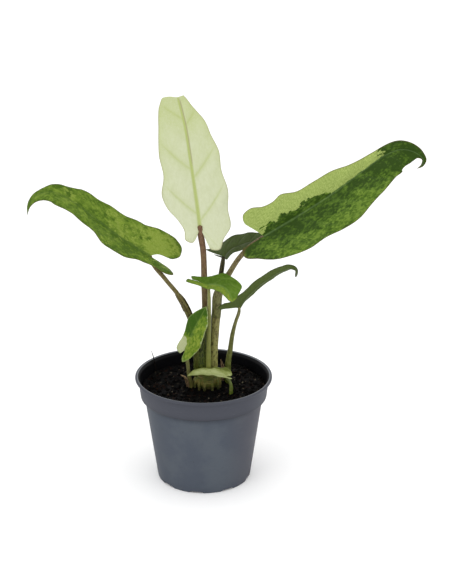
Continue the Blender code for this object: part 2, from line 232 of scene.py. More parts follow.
def stepShare(tree, value, low, high):
    # a smooth 0 to 1 share of a socket between two levels
    return addNode(tree, "ShaderNodeMapRange",
                   {"interpolation_type": "SMOOTHSTEP", "clamp": True, 1: low, 2: high},
                   {0: value}).outputs[0]


def mathOf(tree, kind, a, b=0.0, c=0.0):
    # one sum; each of the three may be a socket or a number
    node = addNode(tree, "ShaderNodeMath", {"operation": kind})
    for key, value in enumerate((a, b, c)):
        if isinstance(value, (int, float)):
            node.inputs[key].default_value = value
        else:
            tree.links.new(value, node.inputs[key])
    return node.outputs[0]


def tint(tree, colour, value, low, high, code, share=1.0):
    # lays a shade over the colour where the value is past a smooth step
    part = stepShare(tree, value, low, high)
    if share < 1:
        part = mathOf(tree, "MULTIPLY", part, share)
    return blendColour(tree, part, colour, code)


def objectPlace(tree):
    return addNode(tree, "ShaderNodeTexCoord").outputs["Object"]


def stretched(tree, place, scale):
    return addNode(tree, "ShaderNodeMapping", {"Scale": scale}, {0: place}).outputs[0]


def noiseOf(tree, place, scale, detail, rough=0.5, bend=0.0):
    return addNode(tree, "ShaderNodeTexNoise",
                   {"Scale": scale, "Detail": detail, "Roughness": rough, "Distortion": bend},
                   {"Vector": place}).outputs["Fac"]


def addBump(tree, shader, height, strength, distance):
    bump = addNode(tree, "ShaderNodeBump", {"Strength": strength, "Distance": distance},
                   {"Height": height})
    tree.links.new(bump.outputs[0], shader.inputs["Normal"])


def addRough(tree, shader, value, low, high, atLow, atHigh):
    rough = addNode(tree, "ShaderNodeMapRange", {1: low, 2: high, 3: atLow, 4: atHigh},
                    {0: value})
    tree.links.new(rough.outputs[0], shader.inputs["Roughness"])


# ---- leaves ----

# Living leaf: a thin waxy skin over soft tissue, IOR about 1.42, satin. Variegation comes
# in patches that follow the side veins, with ragged edges of a few millimetres.
# spine, facing, fold, left, right and lobes follow the solid blade closely. veins gives
# where the side veins leave the midrib (mm from the stalk) on the left and the right.
leafShapes = {
    "centre": dict(
        spine=[(-2.5, 8, 228), (-6, 14, 254), (-10.5, 20, 284), (-15, 27, 311),
               (-19.8, 36, 328.5), (-21.6, 46, 331.5), (-22, 54, 325), (-22, 58, 312)],
        facing=(0.1, -0.95, 0.25), fold=(12, 8, 5),
        left=[(-1, -2), (-8, -4), (-12, -8), (-9, -14), (-1, -14), (8, -18), (20, -26),
              (31, -29), (48, -25), (66, -26), (78, -24.5), (88, -22.6), (98, -20.5),
              (108, -17), (116, -14), (124, -10), (134, -4)],
        right=[(-1, 2), (-10, 4), (-20, 7), (-21, 14), (-12, 19), (-3, 26), (12, 26),
               (27, 28), (45, 25), (62, 25), (76, 20.5), (87, 17.5), (96, 13), (105, 8.5),
               (113, 6), (123, 5), (134, 3)],
        veins=([11, 49, 92, 122], [5, 42, 86, 118]), rows=(110, 230), half=44,
        ruffle=1.0, wave=34, puff=0.9, arch=1.5, ribWide=1.9, seam=(50, 116),
        veinMarks=(1.0, 0.28, 0.26)),
    "left": dict(
        spine=[(-45, 0, 205), (-62, -3, 217), (-88, -5, 238), (-107, -6, 254),
               (-126, -8, 264), (-138, -10, 261), (-144, -12, 253), (-145.5, -14, 246)],
        facing=(0.35, -0.6, 0.7), fold=(20, 15, 10),
        left=[(-1, -2), (-10, -1), (-20, -1), (-25, -5), (-16, -11), (-4, -10), (10, -12.5),
              (23, -19), (38, -20), (58, -14), (78, -13), (95, -13), (110, -8),
              (122, -3)],
        right=[(-1, 2), (-8, 5), (-19, 7.5), (-24.5, 14), (-23.5, 21), (-14, 26.5), (2, 25.5),
               (22, 22), (42, 19), (62, 17), (82, 13), (96, 8), (110, 4), (122, 2)],
        bow=(0, 2.6),
        veins=([9, 36, 64, 90], [5, 30, 57, 84, 106]), rows=(100, 220), half=34,
        ruffle=0.8, wave=30, puff=0.8, arch=1.5, ribWide=1.9, veinMarks=(0.8, 0.12, 0.08)),
    "right": dict(
        spine=[(51.5, 2, 222), (79, 0, 240), (108, -2, 260.5), (134, -3.5, 281.5),
               (152.6, -5, 295.5), (163, -6, 299.6), (172, -7, 298.6), (178.4, -8, 295.4),
               (181.8, -9, 291.4), (180.8, -10, 287.6), (176, -11, 284.5)],
        facing=(-0.2, -0.95, 0.1), fold=(30, 25, 15),
        left=[(0, -3), (-2, -12), (-6, -20), (-3, -29), (6, -31), (15, -26), (24, -25),
              (33, -27), (46, -21), (62, -20), (80, -18), (95, -12.5), (109, -9.5),
              (119, -8.2), (129, -8.7), (136, -8.5), (143, -7.2), (150, -5.4), (156, -3.4),
              (162, -1.6)],
        right=[(-1, 2), (-12, 0), (-22, 1), (-23, 7), (-12, 16), (0, 24), (12, 28),
               (30, 31), (46, 30), (62, 32), (76, 32), (92, 28), (107, 24.5), (120, 21.5),
               (129, 19.6), (137, 17.4), (143.5, 14), (148.6, 10.4), (151.8, 6.2), (153.4, 3),
               (156, 1.5), (162, 1.2)],
        bow=(1.6, 0),
        veins=([8, 38, 70, 100, 128], [4, 32, 64, 95, 124]), rows=(110, 270), half=44,
        ruffle=1.0, wave=38, puff=1.0, arch=2.0, ribWide=1.2, veinMarks=(0.9, 0.1, 0.06)),
    "front": dict(
        spine=[(5, -10, 183), (10, -13, 184), (15, -16, 184), (20, -19, 182),
               (23, -21.5, 178), (25, -23, 172)],
        facing=(0.1, -0.6, 0.8), fold=(5, 5),
        lobes=((-0.95, 0, 0.3), (-0.95, 0, 0.3)),
        left=[(-1, -0.1), (-9, -0.2), (-15, -0.4), (-16.5, -2.4), (-11, -4.8), (-4, -7),
              (4, -10.5), (10, -12.8), (16, -11.8), (22, -12.6), (25, -8), (29, -3)],
        right=[(-1, 0.1), (-9, 0.1), (-18.5, 0.1), (-19, 3), (-10, 4.2), (0, 5), (8, 6),
               (16, 6), (23, 5), (29, 2)],
        veins=([4, 12, 20], [3, 11, 19]), rows=(60, 70), half=20,
        ruffle=0.4, wave=11, puff=0.35, arch=0.4),
    "low": dict(
        spine=[(-15.5, -10, 123), (-12, -9.5, 131), (-8, -9, 141), (-2.5, -9, 152),
               (3, -9.8, 163)],
        facing=(-0.2, -0.85, 0.4), fold=(5, 5),
        left=[(-1, -1), (-5, -3), (-3, -7), (3, -8), (9, -7), (14, -7), (20, -8),
              (27, -9), (33, -7), (40, -3)],
        right=[(-1, 1), (-7, 0), (-11, 2), (-7, 6), (0, 9), (7, 11), (14, 11), (22, 10),
               (30, 9), (38, 5)],
        veins=([5, 16, 27], [3, 14, 25]), rows=(50, 80), half=20,
        ruffle=0.5, wave=14, puff=0.4, arch=0.5),
    "cream": dict(
        spine=[(19.5, -14, 99.5), (11, -14, 101.5), (1.5, -14, 102.2),
               (-6.5, -14, 101.8), (-14, -14, 100)],
        facing=(0, -0.1, 1), fold=(25, 20),
        left=[(-1, -1), (-5, -3), (-4, -8), (1, -10), (8, -9), (15, -6), (22, -6),
              (29, -3)],
        right=[(-1, 1), (-5, 3), (-3, 8), (1, 10), (5, 9), (10, 8), (15, 6), (20, 7),
               (26, 6), (31, 3)],
        veins=([4, 13, 22], [3, 12, 21]), rows=(50, 70), half=18,
        ruffle=0.3, wave=12, puff=0.3, arch=0.3),
    "side": dict(
        spine=[(31, 6, 156), (34.3, 5.5, 162), (39.4, 5, 168.5), (45.3, 4, 175),
               (53, 2, 182.3), (61.2, 0, 188.8), (68.7, -2, 193.5), (74.4, -4, 196),
               (78.5, -6, 195), (78.7, -8, 188.7)],
        facing=(-0.4, 0.85, 0.1), fold=(10, 5),
        lobes=((-0.8, 0.25, 0.6), (-0.53, 0.05, -0.85)),
        left=[(-1, -0.3), (-8, -0.6), (-17, -1), (-15.5, -4), (-8, -4), (-2, -2),
              (5, -2.4), (13, -3.6), (25, -4.2), (45, -4), (60, -3), (72, -1.4)],
        right=[(-0.5, 1), (-1, 4), (-3.5, 9), (-8, 14), (-7.5, 17), (-2, 15), (1.5, 11.5), (5, 8.5),
               (11, 6.5), (25, 6), (45, 5.5), (60, 4.5), (72, 1.6)],
        veins=([6, 20, 36, 52], [4, 18, 34, 50]), rows=(50, 110), half=20,
        ruffle=0.4, wave=20, puff=0.4, arch=0.6),
    "rear": dict(
        spine=[(17.5, 14, 199.7), (20.5, 16, 203.5), (25.5, 19, 206.5), (32, 22, 208.2),
               (41, 27, 209.5), (51, 32, 210.5), (60, 37, 210)],
        facing=(-0.35, 0.75, 0.4), fold=(5, 5),
        lobes=((-1, 0, 0.3), (-1, 0, 0.15)),
        left=[(-1, -0.5), (-5, -0.8), (-9, -1.5), (-9, -3.5), (-4, -5.5), (2, -6.5),
              (10, -7), (24, -7), (38, -5), (46, -2)],
        right=[(-1, 1), (-5, 3.5), (-9.5, 7), (-10, 10), (-6, 12.5), (0, 13), (8, 12),
               (24, 10), (38, 6), (46, 2)],
        veins=([5, 17, 30], [3, 15, 28]), rows=(50, 90), half=20,
        ruffle=0.5, wave=18, puff=0.4, arch=0.6),
}


def leafRib(spine, facing):
    # the midrib as a dense line with its along, up and across directions; up is carried
    # along the line without turning, across is along x up
    dense = smoothPath(spine, 700)
    run = runOf(dense)
    s = np.linspace(0, run[-1], 240)
    p = lineAt(s, run, dense)
    along = unit(np.gradient(p, s, axis=0))
    up, ups = np.asarray(facing, float), []
    for a in along:
        up = up - (up @ a) * a
        up = up / np.linalg.norm(up)
        ups.append(up)
    ups = np.array(ups)
    return dict(length=run[-1], s=s, p=p, along=along, up=ups, across=np.cross(along, ups))


def marginRows(margin, length, fan, climb):
    # margin points for the fan of rows round the lobe, then for rows that climb the
    # midrib; a row's foot lies half its width below its margin point
    count = 900
    line = smoothPath(margin + [(length, 0)], count)
    foot = line[:, 0] - 0.5 * np.abs(line[:, 1])
    turn = int(np.nonzero(foot <= 0)[0][-1])
    # seen from the stalk the margin never turns back, so the rows of a fan can't cross
    sign = 1.0 if line[turn, 1] > 0 else -1.0
    angle = np.arctan2(line[:turn + 1, 1] * sign, line[:turn + 1, 0])
    angle = np.maximum.accumulate(angle[::-1])[::-1] - 1e-6 * np.arange(turn + 1)
    reach = np.hypot(line[:turn + 1, 0], line[:turn + 1, 1])
    line[:turn + 1] = np.stack([reach * np.cos(angle), reach * np.sin(angle) * sign], 1)
    fanAt = np.interp(np.linspace(angle[0] - 0.01, angle[turn], fan, endpoint=False),
                      angle[::-1], np.arange(turn, -1, -1))
    rise = np.maximum.accumulate(np.r_[0, foot[turn + 1:]]) + 1e-6 * np.arange(count - turn)
    feet = length * np.linspace(0, 1, climb + 1)
    index = np.r_[fanAt, np.interp(feet, rise, np.arange(turn, count))]
    both = [np.interp(index, np.arange(count), line[:, k]) for k in (0, 1)]
    both[1][-1] = 0
    return np.stack(both, 1), np.r_[np.zeros(fan), feet]


def veinDistance(s, t, veins, halfWidth):
    # w is where the side vein through (s, t) leaves the midrib: s less 0.85 |t| less a
    # bend that grows with t^2. Returns w, the distance to the nearest side vein and the
    # place between two veins (0 on a vein, 1 half way)
    a = np.abs(t)
    w = s - 0.85 * a - 0.35 * a * a / halfWidth
    lean = np.sqrt(1 + (0.85 + 0.7 * a / halfWidth) ** 2)
    near = np.full(np.shape(s), 99.0)
    between = np.zeros(np.shape(s))
    for sign, feet in ((-1, veins[0]), (1, veins[1])):
        marks = np.r_[-60, feet, feet[-1] + 40]
        side = t * sign >= 0
        gap = np.min(np.abs(w[..., None] - marks[1:-1]), axis=-1) / lean
        k = np.clip(np.searchsorted(marks, w) - 1, 0, len(marks) - 2)
        f = np.clip((w - marks[k]) / (marks[k + 1] - marks[k]), 0, 1)
        near = np.where(side, gap, near)
        between = np.where(side, 4 * f * (1 - f), between)
    return w, near, between


def bladeGrid(shape):
    # the blade as a closed skin: v runs from the left margin (-1) over the midrib (0) to
    # the right margin (1), u from the notch round the lobes to the tip
    rib = leafRib(shape["spine"], shape["facing"])
    fan, climb = shape["rows"]
    (edgeL, feet), (edgeR, _) = [marginRows(shape[k], rib["length"], fan, climb)
                                 for k in ("left", "right")]
    v = np.linspace(-1, 1, 2 * shape["half"] + 1)
    v = np.sign(v) * np.abs(v) ** 1.12          # rows of points closer by the midrib
    edge = np.where((v < 0)[None, :, None], edgeL[:, None], edgeR[:, None])
    size = np.abs(v)[None]
    s = feet[:, None] + size * (edge[..., 0] - feet[:, None])
    t = size * edge[..., 1]
    # the notch beside the stalk is hollow: its rows bow away by 6.75 size (1 - size)^2
    row = np.clip(1 - np.arange(len(feet)) / (0.8 * fan), 0, 1)[:, None]
    bow = np.where(v < 0, -shape.get("bow", (0, 0))[0], shape.get("bow", (0, 0))[1])[None]
    t = t + bow * row ** 2 * 6.75 * size * (1 - size) ** 2
    width = np.abs(edge[..., 1]) + 0.01
    halfWidth = max(np.abs(edgeL[:, 1]).max(), np.abs(edgeR[:, 1]).max())
    w, near, between = veinDistance(s, t, shape["veins"], halfWidth)

    at = np.clip(s, 0, rib["length"])
    point, along, up, across = [lineAt(at, rib["s"], rib[k]) for k in ("p", "along", "up", "across")]
    lobes = shape.get("lobes", (None, None))
    backs = [-rib["along"][0] if d is None else np.array(d) / np.linalg.norm(d)
             for d in lobes]
    back = np.where((v < 0)[None, :, None], backs[0], backs[1])
    f = np.radians(np.interp(at / rib["length"], np.linspace(0, 1, len(shape["fold"])),
                             shape["fold"]))
    side = np.tanh(t / 1.2)                     # the crease is round, not a knife edge
    lift = np.sqrt(t * t + 0.8) * np.sin(f) - 0.9 * np.sin(f)
    # waves along the margin grow with v^2; the tissue puffs up between the side veins
    wave = np.sin(2 * np.pi * w / shape["wave"] + np.where(t > 0, 1.3, 0))
    lift = lift + shape["ruffle"] * size ** 2 * wave * np.minimum(1, width / 8)
    lift = lift - shape["arch"] * (t / halfWidth) ** 2
    lift = lift + shape["puff"] * between * np.sin(np.pi * np.clip(size, 0, 1)) ** 1.2 \
        * np.minimum(1, width / 10)
    lift = lift + 0.25 * softNoise(s, t, 6, 5, 2) * size
    base = (point + back * np.maximum(-s, 0)[..., None]
            + across * (t * np.cos(f))[..., None] + up * lift[..., None])
    normal = up * np.cos(f)[..., None] - across * (side * np.sin(f))[..., None]

    fade = 1 - easeStep(size, 0.78, 1.0)
    along01 = at / rib["length"]
    ribWide = 0.35 + 1.15 * (1 - along01) ** 0.8 * min(1, halfWidth / 16)
    veinWide = 0.35 + 0.5 * min(1, halfWidth / 20) * (1 - 0.6 * size)
    midrib = np.exp(-(t / ribWide) ** 2) * (s > -1)
    lateral = np.exp(-(near / veinWide) ** 2) * fade * (w > -30)
    # a basal vein runs back into each lobe
    angle = np.arctan2(np.abs(t), -s)
    reach = np.hypot(s, t)
    lobeVein = np.exp(-(reach * np.sin(angle - 0.62) / veinWide) ** 2) * (s < 0) * fade
    lateral = np.maximum(lateral * (s > -3), lobeVein * 0.8)
    rim = np.clip(1 - size, 0, 1) * width       # distance to the margin, roughly
    body = 0.24 * np.minimum(1, rim / 0.5 + 0.35)
    top = body - 0.12 * lateral - 0.16 * midrib * (1 - along01)
    below = body + 0.28 * lateral + 1.0 * midrib * (1 - along01) ** 0.7 * min(1, halfWidth / 18)
    skinTop = base + normal * top[..., None]
    skinLow = base - normal * below[..., None]
    return dict(s=s, t=t, w=w, size=size, near=near, lateral=lateral, rim=rim,
                top=skinTop, low=skinLow, along01=along01)


def patchCentre(g):
    # cream all over, yellower towards the tip and in a thin band along the margin
    green = easeStep(g["s"], 5, 150) * 0.85 + 0.3 * np.exp(-g["rim"] / 2.5)
    green = green + 0.08 * softNoise(g["w"], g["t"] * 0.4, 12, 21)
    return np.clip(green, 0, 1), np.full_like(green, 0.25)


def patchLeft(g):
    # yellower on the upper half near the stalk; dark along the midrib, in a few blots,
    # beside both margins and over the lower half's base
    s, t = g["s"], g["t"]
    pale = (t > 1) * (0.5 - 0.0045 * np.maximum(s, 0)) * easeStep(g["rim"], 0.5, 6) + 0.1
    pale = pale + 0.4 * softNoise(g["w"], t * 0.35, 12, 31)
    dark = (0.42 + 0.26 * np.exp(-(t / 2.6) ** 2) * (1 - easeStep(s, 50, 110))
            + 0.16 * (t < 0) * (1 - easeStep(s, 20, 90)))
    dark = dark + 0.28 * np.exp(-g["rim"] / 2.2) + 0.5 * (s < -2) * (t < 0)
    for sx, tx, r in ((8, 13, 2.2), (14, 10, 1.5), (45, 9, 2.2), (36, -3, 2.6), (52, 8, 1.5),
                      (62, 5, 1.6), (86, 4, 2.8), (97, 5, 2.2), (22, -8, 2.4), (88, 9, 1.6)):
        d = np.hypot(s - sx, (t - tx) * 1.2) / r
        dark = dark + 0.6 * np.exp(-d * d)
        pale = pale - 0.6 * np.exp(-d * d)
    return np.clip(pale, 0, 1), np.clip(dark, 0, 1)


def patchRight(g):
    # the upper half is pale up to a ragged line, the lower half dark with lighter mottling
    s, t = g["s"], g["t"]
    step = 2.4                                   # the ragged edge moves in small blocks
    block = softNoise(np.round(s / step) * step, np.round(t / 1.8) * 1.8, 4.5, 41, 2)
    patch = np.interp(s, (-10, 0, 12, 30, 48, 66, 74, 90), (2, 6, 9, 9.5, 7.5, 4, 1.2, 0.5))
    upper = -t - patch - 3.4 * block * np.minimum(1, patch / 4)
    pale = easeStep(upper, -0.5, 0.5) * (t < 0) * (1 - easeStep(s + 4 * block, 119, 125))
    low = np.interp(s, (-25, -5, 12, 30, 45, 62, 75, 95, 120, 150, 175),
                    (2, 4, 7, 13, 18, 20, 14, 15, 18, 16, 16))
    dark = 0.36 + 0.38 * easeStep(low - t, -6, 6) * (t > 0)
    dark = dark + 0.34 * (t < 0) + easeStep(s, 118, 140) * 0.14
    dark = dark + 0.22 * softNoise(g["w"], t * 0.4, 9, 44)
    dark = dark - 0.16 * np.exp(-((s - 90) / 14) ** 2) * (t > 8)
    dark = dark + 0.22 * (1 - easeStep(s, 2, 36)) * (t > 0)
    return np.clip(pale, 0, 1), np.clip(dark, 0, 1)


def patchFront(g):
    # lighter on the near half, yellow at the tip
    pale = 0.48 * easeStep(g["t"], 0, 1.5) + easeStep(g["s"], 25, 32)
    dark = 0.35 + 0.4 * (g["t"] < 0) * (1 - easeStep(g["s"], 10, 28))
    return np.clip(pale, 0, 1), np.clip(dark, 0, 1)


def patchLow(g):
    # one cream lobe at the left, dark left half and tip, mottled right half with a pale rim
    s, t = g["s"], g["t"]
    edge = 1.2 * softNoise(g["w"], t, 4, 51)
    pale = easeStep(13 - s - 0.9 * (t + 8) + edge, -0.7, 0.7) * (t < -0.6)
    pale = pale + (t > 0) * 0.8 * np.exp(-g["rim"] / 0.7) * (s > 0)
    dark = 0.34 + 0.62 * easeStep(s, 10, 20) * easeStep(-t, -1.5, 1.5) + 0.6 * easeStep(s, 30, 40)
    return np.clip(pale, 0, 1), np.clip(dark, 0, 1)


def patchCream(g):
    pale = 0.7 + 0.4 * softNoise(g["w"], g["t"] * 0.4, 5, 61) - 0.6 * easeStep(g["t"], 1, 7)
    return np.clip(pale, 0, 1), 0.4 + 0.5 * easeStep(g["t"], 4, 8)


def patchPlain(g):
    dark = 0.45 + 0.3 * softNoise(g["w"], g["t"] * 0.4, 9, 71)
    return np.zeros_like(dark), np.clip(dark, 0, 1)


# mid, light: the mottled ground; dark and pale: the two kinds of patch (pale has two
# shades); vein, rim, under: veins, margin line and underside; mottle, block and speckle:
# how far noise and cells move the shades; soft: half the width of a pale patch's edge
leafLooks = {
    "centre": dict(mid="#b9be9d", light="#c2c7aa", dark="#adb38c", pale=("#a7b275", "#b0b886"),
                   vein="#9eaa63", veinShare=0.9, rim="#8f8a68", under="#a1a780",
                   mottle=0.35, block=0.1, soft=0.6, patch=patchCentre, slot="cream_leaf"),
    "left": dict(mid="#566f1c", light="#6e842b", dark="#3e580c", pale=("#6f832b", "#81923e"),
                 vein="#425a21", veinShare=0.6, rim="#55512b", under="#556930",
                 mottle=1.2, block=1.0, speckle=0.8, patch=patchLeft, slot="mottled_leaf"),
    "right": dict(mid="#456017", light="#657e2b", dark="#273f05", pale=("#809247", "#a1b163"),
                  vein="#51673f", veinShare=0.5, rim="#534625", under="#546434",
                  mottle=0.9, block=1.0, patch=patchRight, slot="variegated_leaf"),
    "front": dict(mid="#506c1b", light="#627c2a", dark="#3d5a08", pale=("#647e2a", "#89902a"),
                  vein="#6e8447", veinShare=0.35, rim="#4d6423", under="#627737",
                  mottle=0.6, block=0.4, patch=patchFront, slot="green_leaf"),
    "low": dict(mid="#577118", light="#79892e", dark="#2f4e05", pale=("#9ba273", "#a9ae86"),
                vein="#6d813c", veinShare=0.3, rim="#7c8d53", under="#627737",
                mottle=0.9, block=0.8, patch=patchLow, slot="green_leaf"),
    "cream": dict(mid="#7d864a", light="#929b63", dark="#555f23", pale=("#949d66", "#a4aa78"),
                  vein="#818b4f", veinShare=0.4, rim="#646e2e", under="#6f773f",
                  mottle=0.8, block=0.5, patch=patchCream, slot="cream_green_leaf"),
    "side": dict(mid="#465f1a", light="#5a752e", dark="#304808", pale=("#7c934c", "#8f9e5f"),
                 vein="#3d4c1e", veinShare=0.5, rim="#2b3405", under="#485329",
                 mottle=0.9, block=0.6, patch=patchPlain, slot="leaf_underside"),
    "rear": dict(mid="#425f18", light="#55712b", dark="#2c460a", pale=("#7c934c", "#8f9e5f"),
                 vein="#37431b", veinShare=0.5, rim="#283005", under="#424c2a",
                 mottle=0.9, block=0.6, patch=patchPlain, slot="leaf_underside"),
}


def leafSkin(name, look):
    # leafPlace is (along, across, vein foot) in mm, leafMark is (vein, pale, dark, rim) and
    # leafFace is 1 on the underside. Mottling is stretched a little along the midrib and
    # broken into cells of about 1.4 by 2.6 mm; the thread noise follows the side veins.
    skin, tree, shader = newSkin("livingLeaf_" + name, 0.42, 1.42, 0.15)
    place = addNode(tree, "ShaderNodeAttribute", {"attribute_name": "leafPlace"}).outputs["Vector"]
    marks = addNode(tree, "ShaderNodeAttribute", {"attribute_name": "leafMark"})
    mark = addNode(tree, "ShaderNodeSeparateColor", None, {0: marks.outputs["Color"]})
    faces = addNode(tree, "ShaderNodeAttribute", {"attribute_name": "leafFace"})
    face = addNode(tree, "ShaderNodeSeparateXYZ", None, {0: faces.outputs["Vector"]})
    streak = stretched(tree, place, (0.0, 0.5, 1.0))
    patchAt = stretched(tree, place, (0.55, 1.0, 0.0))
    coarse = noiseOf(tree, patchAt, 0.2, 6.0, 0.7, 0.4)
    fine = noiseOf(tree, patchAt, 0.62, 4.0, 0.7, 0.3)
    thread = noiseOf(tree, streak, 1.5, 3.0, 0.6)
    cells = addNode(tree, "ShaderNodeTexVoronoi", {"distance": "CHEBYCHEV", "Scale": 0.7},
                    {"Vector": patchAt}).outputs["Color"]
    cell = addNode(tree, "ShaderNodeSeparateColor", None, {0: cells}).outputs[0]
    # depth = dark share + swing of the coarse noise + the cell's own step
    swing = mathOf(tree, "MULTIPLY_ADD", coarse, 1.9 * look["mottle"], -0.95 * look["mottle"])
    jitter = mathOf(tree, "MULTIPLY_ADD", cell, 0.5 * look["block"], -0.25 * look["block"])
    depth = mathOf(tree, "ADD", mark.outputs[2], mathOf(tree, "ADD", swing, jitter))
    shade = mathOf(tree, "MULTIPLY_ADD", fine, 1.2 * look["mottle"], -0.6 * look["mottle"])
    depth = mathOf(tree, "ADD", depth, shade)
    ground = blendColour(tree, stepShare(tree, depth, 0.0, 0.45), look["light"], look["mid"])
    colour = blendColour(tree, stepShare(tree, depth, 0.4, 0.85), ground, look["dark"])
    paleShade = blendColour(tree, stepShare(tree, thread, 0.4, 0.62), *look["pale"])
    ragged = mathOf(tree, "MULTIPLY_ADD", cell, 0.7 * look["block"], -0.35 * look["block"])
    speckle = mathOf(tree, "MULTIPLY_ADD", shade, look.get("speckle", 0.15), ragged)
    paleAt = mathOf(tree, "ADD", mark.outputs[1], speckle)
    soft = look.get("soft", 0.2)
    paleShare = stepShare(tree, paleAt, 0.5 - soft, 0.5 + soft)
    colour = blendColour(tree, paleShare, colour, paleShade)
    veinShare = mathOf(tree, "MULTIPLY", mark.outputs[0], look["veinShare"])
    colour = blendColour(tree, veinShare, colour, look["vein"])
    colour = blendColour(tree, marks.outputs["Alpha"], colour, look["rim"])
    belowShade = blendColour(tree, stepShare(tree, thread, 0.35, 0.7), look["under"], colour)
    belowShade = blendColour(tree, 0.6, belowShade, look["under"])
    belowShade = blendColour(tree, veinShare, belowShade, look["vein"])
    belowShade = blendColour(tree, marks.outputs["Alpha"], belowShade, look["rim"])
    colour = blendColour(tree, face.outputs[0], colour, belowShade)
    tree.links.new(colour, shader.inputs["Base Color"])
    addRough(tree, shader, fine, 0.3, 0.7, 0.38, 0.5)
    # fine cross veinlets, about 1.2 mm apart, stand 0.05 mm proud
    lines = addNode(tree, "ShaderNodeTexWave",
                    {"wave_type": "BANDS", "bands_direction": "Z", "Scale": 0.26,
                     "Distortion": 1.5, "Detail": 2.0, "Detail Scale": 0.6}, {"Vector": place})
    pile = mathOf(tree, "MULTIPLY_ADD", lines.outputs["Fac"], 0.35, thread)
    addBump(tree, shader, pile, 0.35, 0.00016)
    return skin


def makeBlade(name):
    shape, look = leafShapes[name], leafLooks[name]
    g = bladeGrid(shape)
    rows, cols = g["s"].shape
    pale, dark = look["patch"](g)
    rimLine = np.exp(-(g["rim"] / 0.45) ** 2)
    # a thin dry line beside the midrib, between the two lengths given by seam
    start, end = shape.get("seam", (900, 901))
    seam = easeStep(g["s"], start, start + 8) * (1 - easeStep(g["s"], end - 10, end))
    rimLine = np.maximum(0.8 * rimLine, 0.9 * seam * np.exp(-((g["t"] - 1.2) / 0.45) ** 2))
    ribs, sides, glow = shape.get("veinMarks", (1.0, 0.3, 0.1))
    wide = shape.get("ribWide", 1.3) * (1 - 0.7 * g["along01"])
    stripe = np.exp(-(g["t"] / wide) ** 4) * (g["s"] > -0.5)
    vein = np.clip(np.maximum(ribs * stripe, sides * g["lateral"]
                              + glow * np.exp(-(g["near"] / 2.4) ** 2) * (g["s"] > 0)
                              * (1 - easeStep(g["size"], 0.6, 0.95))), 0, 1)
    place = np.stack([g["s"], g["t"], g["w"]], -1)
    mark = np.stack([vein, pale, dark, rimLine], -1)
    # the underside's grid runs the other way across, so each row is one closed ring
    ring = np.concatenate([g["top"], g["low"][:, ::-1]], 1).reshape(-1, 3)
    below = np.zeros((rows, 2 * cols, 3))
    below[:, cols:] = 1
    marks = {"leafPlace": np.concatenate([place, place[:, ::-1]], 1).reshape(-1, 3),
             "leafMark": np.concatenate([mark, mark[:, ::-1]], 1).reshape(-1, 4),
             "leafFace": below.reshape(-1, 3)}
    return putMesh(name + "LeafBlade", ring, sheetFaces(rows, 2 * cols), leafSkin(name, look),
                   node=name + "_leaf_blade", marks=marks, weld=0.004)


for leafName in leafShapes:
    piece = makeBlade(leafName)
    print("blade", leafName, len(piece.data.vertices), "points")


# ---- stalks ----

